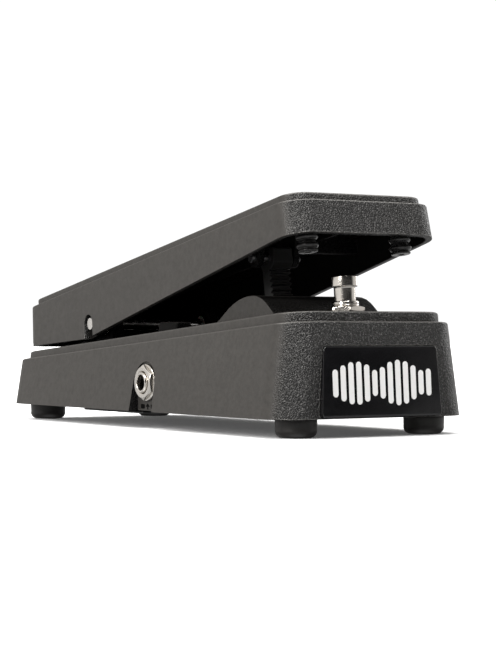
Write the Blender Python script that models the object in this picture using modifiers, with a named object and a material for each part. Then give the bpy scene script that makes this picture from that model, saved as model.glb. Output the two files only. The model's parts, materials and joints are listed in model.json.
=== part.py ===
"""Rocker-treadle effects pedal, modelled at rest with the heel down.

Frame: metres, +Z up, origin on the floor under the middle of the whole object.
The toe end points to -Y, the heel to +Y, the input jack is on the -X side ("left").
Sizes below are in millimetres, from the middle of the casing, and are turned into
metres by MM. The last lines move everything to the object's own middle.
"""

import math

import bmesh
import bpy
from mathutils import Matrix, Vector

MM = 0.001
SIDES = (("left", -1), ("right", 1))

# ---- base casing -------------------------------------------------------------
BASE_L = 250.0          # length at the bottom edge
BASE_W = 99.5           # width at the bottom edge
BASE_R = 14.2           # plan radius of the corners
BASE_Z0 = 7.8           # height of the bottom edge above the floor
LEDGE_Z = 47.9          # height of the ledge at the toe end
TOP_Z = 52.4            # height of the top face at the toe end
SLOPE = 0.078           # fall of the top face towards the heel, mm per mm
LEDGE_SLOPE = 0.0742    # the same for the ledge
SIDE_DRAFT = 0.155      # lean of the side walls, mm per mm of height
TOE_DRAFT = 0.010
HEEL_DRAFT = 0.018
TIER_STEP = 3.2         # step from the ledge to the top tier
WALL = 2.9
LEDGE_SKIN = 2.4        # thickness of the casing under the ledge
TOP_SKIN = 2.8          # and under the top face
CAVITY_Z0 = 4.0         # the cavity starts below the bottom edge, to cut clean through
LEAN = math.atan(SLOPE)

# ---- treadle -----------------------------------------------------------------
PIVOT_Y, PIVOT_Z = 57.6, 47.5
TILT = math.radians(10.07)      # lean of the treadle at rest, toe up
TREADLE_MAX = math.radians(8.5)  # travel, toe down
DECK_Z = 23.4           # treadle's top face above the pivot, square to the deck
DECK_Y0, DECK_Y1 = -176.2, 65.1
DECK_X = 35.1
RIM_Z = 19.8            # the ledge round the deck
RIM_OUT = 3.0
SKIRT_OUT = 4.1
KINK = (3.0, -6.9)      # (y, z) of the lowest point of the skirts
TOE_EDGE = (-180.3, 5.7)
HEEL_EDGE = (69.2, 0.7)
DECK_UNDER = 19.4
SKIRT_WALL = 2.8
AXLE_R = 2.8
AXLE_BORE_R = AXLE_R + 0.1

# ---- rack drive --------------------------------------------------------------
PIN_Y, PIN_Z = -56.8, 75.8      # rack pin, carried by the treadle
PIN_R = 2.0
MODULE = 0.8
TEETH = 16
RACK_X = (-11.5, -1.5)
PINION_X = (-10.5, -2.5)
BACKLASH = 0.16
PRESSURE_ANGLE = math.radians(20)

# ---- sockets, switch and fixings ---------------------------------------------
JACK_Y, JACK_Z = -12.0, 20.8
JACK_FLOOR = 45.6       # distance of the recess floor from the centre plane
POWER_AT = (23.0, 19.0)  # (y, z) of the power socket
SWITCH_Y = -101.2
FEET = {"front_left": (-32.9, -112.4), "front_right": (32.9, -112.4),
        "rear_left": (-30.9, 115.8), "rear_right": (30.9, 115.8)}
# Small screws: key, end, x, y, height of the post's upper end over the top face.
BOARD_FIXINGS = (("a", "front", -5.0, 38.0, -1.6),
                 ("b", "rear", 36.0, 80.0, -1.6))
DRIVE_FIXINGS = (("a", "rear", 16.0, -50.0, 2.3),
                 ("b", "front", 16.0, -88.5, -0.8))
# Posts for them: name, fixings, lower end of the post, lower end of its hole.
SMALL_POSTS = (("board", BOARD_FIXINGS, 22.4, 20.0),
               ("drive", DRIVE_FIXINGS, 30.3, 28.0))
POST_HOLE_DEPTH = 11.0

for old in list(bpy.data.objects):
    bpy.data.objects.remove(old, do_unlink=True)

PARTS = bpy.data.collections.new("rocker_pedal")
CUTTERS = bpy.data.collections.new("cutters")
bpy.context.scene.collection.children.link(PARTS)
bpy.context.scene.collection.children.link(CUTTERS)

# ---- materials ---------------------------------------------------------------
CASING = dict(colour=(0.045, 0.042, 0.040), roughness=0.55)
RUBBER = dict(colour=(0.012, 0.012, 0.012), roughness=0.75)
GLOSS = dict(colour=(0.008, 0.008, 0.008), roughness=0.15)
NICKEL = dict(colour=(0.72, 0.69, 0.64), roughness=0.22, metallic=1.0)
STEEL = dict(colour=(0.55, 0.55, 0.56), roughness=0.35, metallic=1.0)
PLASTIC = dict(colour=(0.02, 0.02, 0.022), roughness=0.45)
NYLON = dict(colour=(0.78, 0.76, 0.70), roughness=0.45)
PLATE = dict(colour=(0.02, 0.02, 0.02), roughness=0.5)
BOARD = dict(colour=(0.02, 0.16, 0.07), roughness=0.5)
BATTERY = dict(colour=(0.10, 0.10, 0.11), roughness=0.35, metallic=0.6)
RED = dict(colour=(0.45, 0.02, 0.02), roughness=0.5)
BLUE = dict(colour=(0.03, 0.08, 0.30), roughness=0.4)
OCHRE = dict(colour=(0.50, 0.20, 0.03), roughness=0.4)
FERRITE = dict(colour=(0.05, 0.05, 0.055), roughness=0.6)


def material(name, colour, roughness, metallic=0.0):
    made = bpy.data.materials.new(name)
    made.use_nodes = True
    shader = made.node_tree.nodes["Principled BSDF"]
    shader.inputs["Base Color"].default_value = (*colour, 1.0)
    shader.inputs["Roughness"].default_value = roughness
    shader.inputs["Metallic"].default_value = metallic
    made.diffuse_color = (*colour, 1.0)
    return made


# ---- placing -----------------------------------------------------------------
def place(obj, finish=None, parent=None):
    """Put an object in its collection: a part when it has a finish, a cutter when not."""
    if finish is None:
        CUTTERS.objects.link(obj)
        obj.hide_render = True
        obj.display_type = "WIRE"
    else:
        PARTS.objects.link(obj)
        obj.data.materials.append(material(obj.name, **finish))
    obj.parent = parent
    return obj


def shift(obj, x=0.0, y=0.0, z=0.0, turn=(0.0, 0.0, 0.0)):
    obj.location = (x * MM, y * MM, z * MM)
    obj.rotation_euler = turn
    return obj


def frame(name, x=0.0, y=0.0, z=0.0, turn=(0.0, 0.0, 0.0)):
    """An empty that carries the pieces drawn in its own axes."""
    made = bpy.data.objects.new(name, None)
    PARTS.objects.link(made)
    return shift(made, x, y, z, turn)


def from_bmesh(bm, name, finish=None, parent=None, smooth=None):
    """Object from a bmesh; smooth is the angle in degrees above which edges stay sharp."""
    bmesh.ops.recalc_face_normals(bm, faces=bm.faces)
    mesh = bpy.data.meshes.new(name)
    bm.to_mesh(mesh)
    bm.free()
    if smooth:
        mesh.shade_smooth()
        mesh.set_sharp_from_angle(angle=math.radians(smooth))
    return place(bpy.data.objects.new(name, mesh), finish, parent)


# ---- ranges and flat loops ---------------------------------------------------
def around(middle, half):
    return middle - half, middle + half


def mirrored(side, inner, outer):
    """Range between two distances from the centre plane, on the given side."""
    return sorted((side * inner, side * outer))


def arc(cx, cy, radius, start, end, count):
    """Points of an arc, angles in degrees."""
    points = []
    for i in range(count + 1):
        angle = math.radians(start + (end - start) * i / count)
        points.append((cx + radius * math.cos(angle), cy + radius * math.sin(angle)))
    return points


def circle(cx, cy, radius, count):
    return arc(cx, cy, radius, 0, 360, count)[:-1]


def rounded(x_range, y_range, radius, count=6):
    (x0, x1), (y0, y1) = x_range, y_range
    return (arc(x1 - radius, y1 - radius, radius, 0, 90, count)
            + arc(x0 + radius, y1 - radius, radius, 90, 180, count)
            + arc(x0 + radius, y0 + radius, radius, 180, 270, count)
            + arc(x1 - radius, y0 + radius, radius, 270, 360, count))


# ---- solids ------------------------------------------------------------------
def bevel(bm, edges, offset, segments):
    bmesh.ops.bevel(bm, geom=edges, offset=offset * MM, segments=segments, profile=0.5,
                    affect="EDGES", clamp_overlap=True)


def box(name, x_range, y_range, z_range, finish=None, parent=None, round_off=0.0, segments=2):
    bm = bmesh.new()
    bmesh.ops.create_cube(bm, size=1.0)
    for vert in bm.verts:
        vert.co = Vector([(low + high) / 2 + unit * (high - low)
                          for unit, (low, high) in zip(vert.co, (x_range, y_range, z_range))]) * MM
    if round_off:
        bevel(bm, bm.edges[:], round_off, segments)
    return from_bmesh(bm, name, finish, parent, 40 if round_off else None)


def tapered(name, lower, upper, radius, steps, rim=0.0, finish=None, parent=None):
    """A leaning-walled box whose top may slope.

    lower and upper are (half width, (y at the toe, y at the heel), z); the half width
    and z are numbers or functions of y.
    """
    def at(value, y):
        return value(y) if callable(value) else value

    bm = bmesh.new()
    bmesh.ops.create_cube(bm, size=2.0)
    for vert in bm.verts:
        half, ends, z = upper if vert.co.z > 0 else lower
        y = ends[1] if vert.co.y > 0 else ends[0]
        vert.co = Vector((math.copysign(at(half, y), vert.co.x), y, at(z, y))) * MM
    bm.normal_update()
    upright = []
    for edge in bm.edges:
        x, y, z = edge.verts[0].co - edge.verts[1].co
        if abs(z) > 1.9 * max(abs(x), abs(y)):
            upright.append(edge)
    bevel(bm, upright, radius, steps)
    if rim:
        bm.normal_update()
        top_face = max(bm.faces, key=lambda f: f.calc_center_median().z + f.normal.z)
        bevel(bm, top_face.edges[:], rim, 2)
    return from_bmesh(bm, name, finish, parent, 35)


def turned(name, profile, steps, finish=None, parent=None, closed=False):
    """Profile of (radius, height) points, down the outer side, spun about Z."""
    mesh = bpy.data.meshes.new(name)
    count = len(profile)
    edges = [(i, i + 1) for i in range(count - 1)] + ([(count - 1, 0)] if closed else [])
    mesh.from_pydata([(r * MM, 0.0, z * MM) for r, z in profile], edges, [])
    obj = place(bpy.data.objects.new(name, mesh), finish, parent)
    spin = obj.modifiers.new("spin", "SCREW")
    spin.axis = "Z"
    spin.angle = 2 * math.pi
    spin.steps = spin.render_steps = steps
    spin.use_merge_vertices = True
    spin.merge_threshold = 1e-6
    spin.use_smooth_shade = False
    return obj


def outline(name, loops, span, axis="x", finish=None, parent=None):
    """A flat outline with holes, filling the span along the axis.

    On "x" the loops are (y, z), on "y" they are (x, z), on "z" they are (x, y).
    """
    low, high = span
    curve = bpy.data.curves.new(name, "CURVE")
    curve.dimensions = "2D"
    curve.fill_mode = "BOTH"
    curve.extrude = (high - low) / 2 * MM
    for loop in loops:
        spline = curve.splines.new("POLY")
        spline.points.add(len(loop) - 1)
        for point, (first, second) in zip(spline.points, loop):
            point.co = (first * MM, second * MM, 0.0, 1.0)
        spline.use_cyclic_u = True
    made = bpy.data.objects.new(name + "_outline", curve)
    bpy.context.scene.collection.objects.link(made)
    middle = (low + high) / 2 * MM
    turn = {"x": Matrix(((0, 0, 1), (1, 0, 0), (0, 1, 0))),
            "y": Matrix(((1, 0, 0), (0, 0, -1), (0, 1, 0))),
            "z": Matrix.Identity(3)}[axis]
    offset = {"x": (middle, 0, 0), "y": (0, middle, 0), "z": (0, 0, middle)}[axis]
    made.matrix_world = Matrix.Translation(offset) @ turn.to_4x4()
    bpy.context.view_layer.update()
    graph = bpy.context.evaluated_depsgraph_get()
    mesh = bpy.data.meshes.new_from_object(made.evaluated_get(graph))
    mesh.transform(made.matrix_world)
    bpy.data.objects.remove(made)
    bpy.data.curves.remove(curve)
    bm = bmesh.new()
    bm.from_mesh(mesh)
    bpy.data.meshes.remove(mesh)
    bmesh.ops.remove_doubles(bm, verts=bm.verts, dist=1e-6)
    return from_bmesh(bm, name, finish, parent, 35)


def rod(name, radius, span, axis, at, count, finish=None, parent=None):
    """A plain cylinder along an axis; at holds the other two coordinates."""
    return outline(name, [circle(*at, radius, count)], span, axis, finish, parent)


# ---- booleans ----------------------------------------------------------------
def combine(obj, operation, *others):
    for other in others:
        step = obj.modifiers.new(operation.lower(), "BOOLEAN")
        step.operation = operation
        step.object = other
        step.solver = "EXACT"


def cut(obj, *others):
    combine(obj, "DIFFERENCE", *others)


def join(obj, *others):
    combine(obj, "UNION", *others)


# ---- standard parts ----------------------------------------------------------
def hex_nut(name, across, height, bore, chamfer, finish, parent, x=0.0, z=0.0,
            turn=(0.0, 0.0, 0.0)):
    """Hexagon nut standing on its own Z, corners rounded off towards the outer face.

    bore is a radius; chamfer is the share of the flats' radius left at the outer face.
    """
    corner = across / math.sqrt(3)
    hexagon = [(corner * math.cos(math.radians(60 * i + 30)),
                corner * math.sin(math.radians(60 * i + 30))) for i in range(6)]
    nut = outline(name, [hexagon], (0.0, height), "z", finish, parent)
    dress = turned(name + "_dress",
                   [(0, height), (across / 2 * chamfer, height), (corner + 0.2, height - 1.3),
                    (corner + 0.2, -0.5), (0, -0.5)], 24, parent=parent)
    hole = rod(name + "_hole", bore, (-2, height + 2), "z", (0, 0), 20, parent=parent)
    combine(nut, "INTERSECT", dress)
    cut(nut, hole)
    for obj in (nut, dress, hole):
        shift(obj, x=x, z=z, turn=turn)


def cross_head_screw(name, x, y, head_z, head_r, head_h, shank_r, length, steps):
    """Pan-head screw about Z with the head down at head_z and its shank going up."""
    screw = turned(name, [(0, head_h + length), (shank_r, head_h + length), (shank_r, head_h),
                          (head_r, head_h), (head_r, 0.8), (head_r - 0.8, 0.0), (0, 0.0)],
                   steps, STEEL)
    arm, half_slot, depth = (-head_r * 0.52, head_r * 0.52), (-0.45, 0.45), (-1.0, 1.1)
    slots = (box(name + "_slot_a", arm, half_slot, depth),
             box(name + "_slot_b", half_slot, arm, depth))
    cut(screw, *slots)
    for obj in (screw, *slots):
        shift(obj, x, y, head_z)


def small_screws(name, fixings, head_z):
    for _, end, x, y, _ in fixings:
        cross_head_screw(f"{name}_screw_{end}", x, y, head_z, head_r=2.8, head_h=2.1,
                         shank_r=1.3, length=8.0, steps=10)


# ---- faces of the base -------------------------------------------------------
def ledge(y):
    return LEDGE_Z - LEDGE_SLOPE * (y + BASE_L / 2)


def top(y):
    return TOP_Z - SLOPE * (y + BASE_L / 2)


def half_at(z):
    """Half width of the outer side wall at height z."""
    return BASE_W / 2 - SIDE_DRAFT * (z - BASE_Z0)


def ends_at(toe_z, heel_z, inset=0.0):
    """Y of the toe and heel walls at the given heights, drawn in by inset."""
    return (-BASE_L / 2 + TOE_DRAFT * (toe_z - BASE_Z0) + inset,
            BASE_L / 2 - HEEL_DRAFT * (heel_z - BASE_Z0) - inset)


def ledge_ends(inset=0.0):
    return ends_at(ledge(-BASE_L / 2), ledge(BASE_L / 2), inset)


def ledge_half(inset):
    """Half width at the ledge, drawn in by inset, as a function of y."""
    return lambda y: half_at(ledge(y)) - inset


# ---- base: outer body and cavities -------------------------------------------
base_shell = tapered(
    "base_shell",
    (half_at(BASE_Z0), ends_at(BASE_Z0, BASE_Z0), BASE_Z0),
    (ledge_half(0.0), ledge_ends(), ledge),
    BASE_R, 8, rim=0.8, finish=CASING)
tier = tapered(
    "base_tier",
    (ledge_half(TIER_STEP - 0.25), ledge_ends(TIER_STEP - 0.15), lambda y: ledge(y) - 1.5),
    (ledge_half(TIER_STEP), ledge_ends(TIER_STEP), top),
    BASE_R - 1.0, 8, rim=1.0)
cavity = tapered(
    "base_cavity",
    (half_at(CAVITY_Z0) - WALL, ends_at(CAVITY_Z0, CAVITY_Z0, WALL), CAVITY_Z0),
    (lambda y: half_at(ledge(y) - LEDGE_SKIN) - WALL, ledge_ends(WALL),
     lambda y: ledge(y) - LEDGE_SKIN),
    BASE_R - WALL, 4)
upper_half, upper_ends = ledge_half(TIER_STEP + WALL), ledge_ends(TIER_STEP + WALL)
upper_cavity = tapered(
    "base_upper_cavity",
    (upper_half, upper_ends, lambda y: ledge(y) - 6.0),
    (upper_half, upper_ends, lambda y: top(y) - TOP_SKIN),
    BASE_R - 5.4, 4)

# ---- base: bulge over the drive ----------------------------------------------
# A low hill with a gentle heel side and a steep toe side: y, rise over the top face.
HILL = [
    (-33.0, -3.0), (-37.5, 0.15), (-40.0, 0.8), (-44.1, 2.6), (-48.0, 4.8),
    (-52.0, 7.0), (-56.0, 8.7), (-60.0, 9.9), (-64.0, 10.6), (-68.0, 10.9),
    (-71.5, 10.8), (-74.5, 10.3), (-78.0, 9.1), (-81.0, 7.4), (-83.5, 5.5),
    (-86.0, 3.4), (-88.0, 1.5), (-89.6, -0.1), (-90.6, -1.4), (-91.2, -3.0),
]
HILL_MIDDLE = -66.0
HILL_REACH = 30.0       # distance from the middle at which the full y_sink applies
BULGE_HALF = 27.8


def hill(sink, y_sink):
    """The hill's outline lowered by sink and drawn in at its ends by y_sink."""
    scale = (HILL_REACH - y_sink) / HILL_REACH
    return [(HILL_MIDDLE + (y - HILL_MIDDLE) * scale, top(y) + rise - sink) for y, rise in HILL]


bulge = outline("base_bulge", [hill(0.0, 0.0)], around(0.0, BULGE_HALF))
bulge_soft = bulge.modifiers.new("round", "BEVEL")
bulge_soft.width = 1.2 * MM
bulge_soft.segments = 2
bulge_soft.limit_method = "ANGLE"
bulge_soft.angle_limit = math.radians(60)
bulge_low = hill(2.4, 2.6)[1:-1]
bulge_cavity = outline("base_bulge_cavity",
                       [bulge_low + [(bulge_low[-1][0], 40.0), (bulge_low[0][0], 38.0)]],
                       around(0.0, BULGE_HALF - 2.5))

# ---- base: lugs, posts, webs and blocks --------------------------------------
LUG_IN, LUG_OUT = 24.0, 30.0    # the pivot lugs' faces, from the centre plane
WEB_HALF = 1.1
WEB_Z0 = 14.0
WEB_END_Y = 123.0               # the end webs reach into the end walls

lug_shape = (arc(PIVOT_Y, PIVOT_Z, 7.2, 0, 180, 14)
             + [(PIVOT_Y - 9.0, 37.2), (PIVOT_Y + 9.0, 36.6)])
lugs = [outline("base_lug_" + label, [lug_shape], mirrored(side, LUG_IN, LUG_OUT))
        for label, side in SIDES]
cable_boss = box("base_cable_boss", (-34.0, -26.0), (-18.0, -1.0), (41.2, 48.0), round_off=1.2)


def foot_webs(corner, x, y):
    """Two ribs from a foot post, one to the side wall and one to the end wall."""
    side = math.copysign(1, x)
    high = ledge(y) - 1.5
    to_side = [(x, WEB_Z0), (side * (half_at(WEB_Z0) - 1.8), WEB_Z0),
               (side * (half_at(high) - 1.8), high), (x, high)]
    return [outline("base_web_" + corner, [to_side], around(y, WEB_HALF), "y"),
            box("base_end_web_" + corner, around(x, WEB_HALF),
                sorted((y, math.copysign(WEB_END_Y, y))), (WEB_Z0, high))]


inside = [rod("base_post_" + corner, 4.4, (9.8, ledge(y) - 1.5), "z", (x, y), 16)
          for corner, (x, y) in FEET.items()]
for corner, (x, y) in FEET.items():
    inside += foot_webs(corner, x, y)
for name, fixings, post_z, _ in SMALL_POSTS:
    inside += [rod(f"base_{name}_post_{key}", 3.2, (post_z, top(y) + rise), "z", (x, y), 14)
               for key, _, x, y, rise in fixings]
for label, side in SIDES:
    block = [(side * 43.4, BASE_Z0 + 0.3), (side * 48.6, BASE_Z0 + 0.3),
             (side * 44.5, 34.5), (side * 43.4, 34.5)]
    inside.append(outline("base_jack_block_" + label, [block], around(JACK_Y, 12.5), "y"))
inside.append(outline("base_power_block", [[(42.6, 11.0), (48.2, 11.0), (45.7, 27.0),
                                            (42.6, 27.0)]], around(POWER_AT[0], 8.0), "y"))
inside.append(box("base_badge_block", (-34.0, 34.0), (-123.2, -121.0), (9.9, 40.0)))

join(base_shell, tier, bulge, *lugs, cable_boss)
cut(base_shell, cavity, upper_cavity, bulge_cavity)
join(base_shell, *inside)

# ---- base: recesses and holes ------------------------------------------------
RECESS_R = 8.8
RECESS_OUT = 56.0       # outer end of the jack recess cutter
RECESS_FLARE = 1.42     # growth of its width at that end

# The badge is a plate a little wider at the bottom, let into a pocket in the toe face.
BADGE_Z0, BADGE_Z1 = 8.3, 37.5
BADGE_X0, BADGE_X1 = 30.5, 28.9     # half widths at the bottom and at the top
BADGE_SIDE = 0.9                    # distance of its middle from the centre plane
BADGE_Y0, BADGE_Y1 = -127.3, -125.4  # the wedge's front face at the bottom and at the top
BADGE_R = 1.7


def jack_recess(label, side):
    """Arch with an upright floor let into the leaning wall, open at the bottom, flared outwards."""
    arch = ([(JACK_Y + RECESS_R, -5.0)] + arc(JACK_Y, 21.45, RECESS_R, 0, 180, 13)
            + [(JACK_Y - RECESS_R, -5.0)])
    recess = outline("recess_jack_" + label, [arch], mirrored(side, JACK_FLOOR, RECESS_OUT))
    for vert in recess.data.vertices:
        if abs(vert.co.x) > (RECESS_OUT - 1.0) * MM:
            vert.co.y = (JACK_Y + (vert.co.y / MM - JACK_Y) * RECESS_FLARE) * MM
    return recess


def badge_outline(grow):
    """(x, z) points of the badge's edge, grown outwards by grow."""
    radius = BADGE_R + grow
    corners = [(BADGE_X1 + grow, BADGE_Z1 + grow, 0), (-BADGE_X1 - grow, BADGE_Z1 + grow, 90),
               (-BADGE_X0 - grow, BADGE_Z0 - grow, 180), (BADGE_X0 + grow, BADGE_Z0 - grow, 270)]
    points = []
    for x, z, start in corners:
        points += arc(BADGE_SIDE + x - math.copysign(radius, x),
                      z - math.copysign(radius, z - 20), radius, start, start + 90, 5)
    return points


for label, side in SIDES:
    cut(base_shell, jack_recess(label, side),
        rod("hole_jack_" + label, 5.0, mirrored(side, 40, 60), "x", (JACK_Y, JACK_Z), 28))
cut(base_shell,
    rod("recess_power", 6.6, (45.8, 60.0), "x", POWER_AT, 28),
    rod("hole_power", 4.4, (40.0, 60.0), "x", POWER_AT, 24),
    outline("recess_badge", [badge_outline(0.3)], (-140.0, -123.9), "y"))

# Opening in the bulge for the rack and the treadle's two ears.
cut(base_shell, box("slot_rack", (-20.2, 6.2), (-67.5, -52.0), (40.0, 70.0)))

# The foot switch stands square to the sloping top.
switch_frame = frame("footswitch_frame", 0.0, SWITCH_Y, top(SWITCH_Y), (-LEAN, 0.0, 0.0))
cut(base_shell, rod("hole_switch", 6.2, (-12.0, 12.0), "z", (0, 0), 28, parent=switch_frame))
for label, side in SIDES:
    cut(base_shell, rod("hole_bush_" + label, 4.3, mirrored(side, LUG_IN - 2, LUG_OUT + 2), "x",
                        (PIVOT_Y, PIVOT_Z), 20))
for corner, at in FEET.items():
    cut(base_shell, rod("hole_post_" + corner, 2.2, (8.0, 24.0), "z", at, 12))
for name, fixings, _, hole_z in SMALL_POSTS:
    for key, _, x, y, _ in fixings:
        cut(base_shell, rod(f"hole_{name}_{key}", 1.6, (hole_z, hole_z + POST_HOLE_DEPTH), "z",
                            (x, y), 10))

# ---- bottom plate ------------------------------------------------------------
DOOR_X0, DOOR_X1 = -45.0, -13.0     # battery door, hinged along its inner edge
DOOR_Y0, DOOR_Y1 = -6.0, 50.5
DOOR_LAP = 2.0                      # overlap of the door on the plate
THROUGH_PLATE = (5.0, 12.0)

bottom_plate = outline("bottom_plate", [rounded((-46.1, 46.1), (-121.5, 121.5), 10.6, 5)],
                       (7.9, 9.4), "z", PLATE)
for label, side in SIDES:
    cut(bottom_plate, box("notch_" + label, mirrored(side, 43.0, 50.0), around(JACK_Y, 12.9),
                          THROUGH_PLATE))
cut(bottom_plate, box("door_hole", (DOOR_X0 + DOOR_LAP, DOOR_X1 - DOOR_LAP),
                      (DOOR_Y0 + DOOR_LAP, DOOR_Y1 - DOOR_LAP), THROUGH_PLATE))
for corner, at in FEET.items():
    cut(bottom_plate, rod("plate_hole_" + corner, 2.3, THROUGH_PLATE, "z", at, 16))

# ---- battery door ------------------------------------------------------------
DOOR_EDGE = DOOR_X0 - DOOR_X1       # the free edge, from the hinge
PANEL_IN = 2.4                      # inset of the panel that fills the plate's opening

door_hinge = frame("battery_door_hinge", DOOR_X1, 0.0, 7.1)
battery_door = box("battery_door", (DOOR_EDGE, 0.0), (DOOR_Y0, DOOR_Y1), (-0.5, 0.5),
                   PLASTIC, door_hinge, round_off=0.35, segments=1)
latch = box("door_latch", (DOOR_EDGE + 2.5, DOOR_EDGE + 4.0), (16.0, 28.0), (0.2, 2.35),
            parent=door_hinge)
panel = box("door_panel", (DOOR_EDGE + 2.8, -PANEL_IN), (DOOR_Y0 + PANEL_IN, DOOR_Y1 - PANEL_IN),
            (0.2, 1.9), parent=door_hinge)
nick = box("door_nick", (DOOR_EDGE - 1.0, DOOR_EDGE + 1.2), (18.0, 26.0), (-0.9, 0.15),
           parent=door_hinge)
join(battery_door, panel, latch)
cut(battery_door, nick)

# ---- feet --------------------------------------------------------------------
FOOT_PROFILE = [(3.0, 7.6), (8.85, 7.6), (8.85, 3.8), (8.4, 2.0), (7.2, 0.7),
                (6.0, 0.0), (4.4, 0.0), (4.4, 3.6), (3.0, 3.6)]     # radius, height

for corner, (x, y) in FEET.items():
    shift(turned("foot_" + corner, FOOT_PROFILE, 20, RUBBER, closed=True), x, y)
    cross_head_screw("foot_screw_" + corner, x, y, head_z=1.0, head_r=3.7, head_h=2.3,
                     shank_r=2.0, length=16.0, steps=12)

# ---- badge -------------------------------------------------------------------
badge_plate = outline("badge_plate", [badge_outline(0.0)], (-126.0, -124.0), "y", GLOSS)
for vert in badge_plate.data.vertices:
    if vert.co.y < -125.0 * MM:
        share = (vert.co.z / MM - BADGE_Z0) / (BADGE_Z1 - BADGE_Z0)
        vert.co.y = (BADGE_Y0 + (BADGE_Y1 - BADGE_Y0) * share) * MM

# ---- jacks -------------------------------------------------------------------
THREAD_BORE_R = 5.05        # of the nut and the washer
# Profiles are radius, height over the recess floor.
JACK_WASHER = [(THREAD_BORE_R, 1.5), (7.9, 1.5), (8.3, 1.1), (8.3, 0.3), (THREAD_BORE_R, 0.3)]
JACK_BUSHING = [(3.5, 4.0), (4.4, 4.0), (4.75, 3.6), (4.75, -2.6), (7.4, -2.6),
                (7.4, -4.0), (3.3, -4.0), (3.3, 3.7)]


def audio_jack(label, side):
    # Local +Z points out of the socket, its zero is the recess floor.
    axis = frame(label + "_jack_axis", side * JACK_FLOOR, JACK_Y, JACK_Z,
                 (0.0, side * math.pi / 2, 0.0))
    turned(label + "_jack_washer", JACK_WASHER, 20, NICKEL, axis, closed=True)
    hex_nut(label + "_jack_nut", across=14.0, height=1.5, bore=THREAD_BORE_R, chamfer=0.94,
            finish=NICKEL, parent=axis, z=1.6)
    turned(label + "_jack_bushing", JACK_BUSHING, 20, NICKEL, axis, closed=True)
    body = box(label + "_jack_body", (-7.0, 7.0), (-7.0, 7.0), (-29.7, -4.3), PLASTIC, axis,
               round_off=0.6, segments=1)
    cut(body, rod(label + "_jack_bore", 3.35, (-40.0, 0.0), "z", (0, 0), 16, parent=axis))


audio_jack("input", -1)
audio_jack("output", 1)

# ---- power socket ------------------------------------------------------------
dc_axis = frame("dc_jack_axis", 46.0, *POWER_AT, (0.0, math.pi / 2, 0.0))
dc_jack = box("dc_jack", (-5.5, 5.5), (-4.6, 4.6), (-15.0, -3.9), PLASTIC, dc_axis,
              round_off=0.4, segments=1)
join(dc_jack, rod("dc_nose", 4.0, (-5.0, -0.3), "z", (0, 0), 28, parent=dc_axis))
cut(dc_jack, rod("dc_well", 2.85, (-11.0, 3.0), "z", (0, 0), 24, parent=dc_axis))
join(dc_jack, rod("dc_pin", 1.0, (-12.0, -1.6), "z", (0, 0), 12, parent=dc_axis))

# ---- foot switch -------------------------------------------------------------
# Profiles are radius, height over the casing's top face.
SWITCH_BUSHING = [(4.8, 5.7), (5.6, 5.7), (5.95, 5.2), (5.95, -3.0), (4.8, -3.0)]
SWITCH_WASHER = [(6.05, 0.9), (8.2, 0.9), (8.2, 0.3), (6.05, 0.3)]
SWITCH_PLUNGER = [(0, 17.0), (3.0, 16.95), (4.7, 16.75), (5.6, 15.9), (5.6, 11.9),
                  (4.6, 11.6), (4.6, -0.4), (0, -0.4)]

box("footswitch_body", (-8.6, 8.6), (-7.5, 7.5), (-22.5, -3.3), BLUE, switch_frame,
    round_off=0.6, segments=1)
turned("footswitch_bushing", SWITCH_BUSHING, 24, NICKEL, switch_frame, closed=True)
turned("footswitch_washer", SWITCH_WASHER, 20, STEEL, switch_frame, closed=True)
hex_nut("footswitch_nut", across=14.4, height=2.2, bore=6.05, chamfer=0.96, finish=NICKEL,
        parent=switch_frame, z=1.2, turn=(0.0, 0.0, math.radians(12)))
turned("footswitch_plunger", SWITCH_PLUNGER, 24, NICKEL, switch_frame)

# ---- drive: where the rack and pinion stand ----------------------------------
PITCH = math.pi * MODULE
PITCH_R = MODULE * TEETH / 2
TOOTH_HALF = (PITCH / 2 - BACKLASH) / 2     # half a tooth's thickness on the pitch line
MESH_S = 34.32                          # distance below the pin at which the pinion meshes
PITCH_LINE = 2.7                        # of the rack, to the toe side of the bar's middle
CENTRE = PITCH_LINE + PITCH_R + 0.06    # from the bar's middle to the pinion's axis


def swing(point, angle):
    """Turn a (y, z) point about the pivot, toe down."""
    y, z = point
    return (y * math.cos(angle) - z * math.sin(angle),
            y * math.sin(angle) + z * math.cos(angle))


# The rack lies along the chord of the pin's path.
pin_rest = (PIN_Y - PIVOT_Y, PIN_Z - PIVOT_Z)
pin_end = swing(pin_rest, TREADLE_MAX)
RACK_LEAN = math.atan2(pin_rest[0] - pin_end[0], pin_rest[1] - pin_end[1])
PINION_Y = PIN_Y - MESH_S * math.sin(RACK_LEAN) - CENTRE * math.cos(RACK_LEAN)
PINION_Z = PIN_Z - MESH_S * math.cos(RACK_LEAN) + CENTRE * math.sin(RACK_LEAN)

# Local Z runs up the rack and local -Y points from the bar to the pinion.
rack_frame = frame("rack_frame", 0.0, PIN_Y, PIN_Z, (-RACK_LEAN, 0.0, 0.0))
pinion_frame = frame("pinion_frame", 0.0, PINION_Y, PINION_Z)


# ---- drive: rack -------------------------------------------------------------
RACK_TEETH = 13
RACK_TIP, RACK_ROOT = 0.74, 0.98    # tooth height and gap depth from the pitch line
RACK_BACK = 3.5


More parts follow.
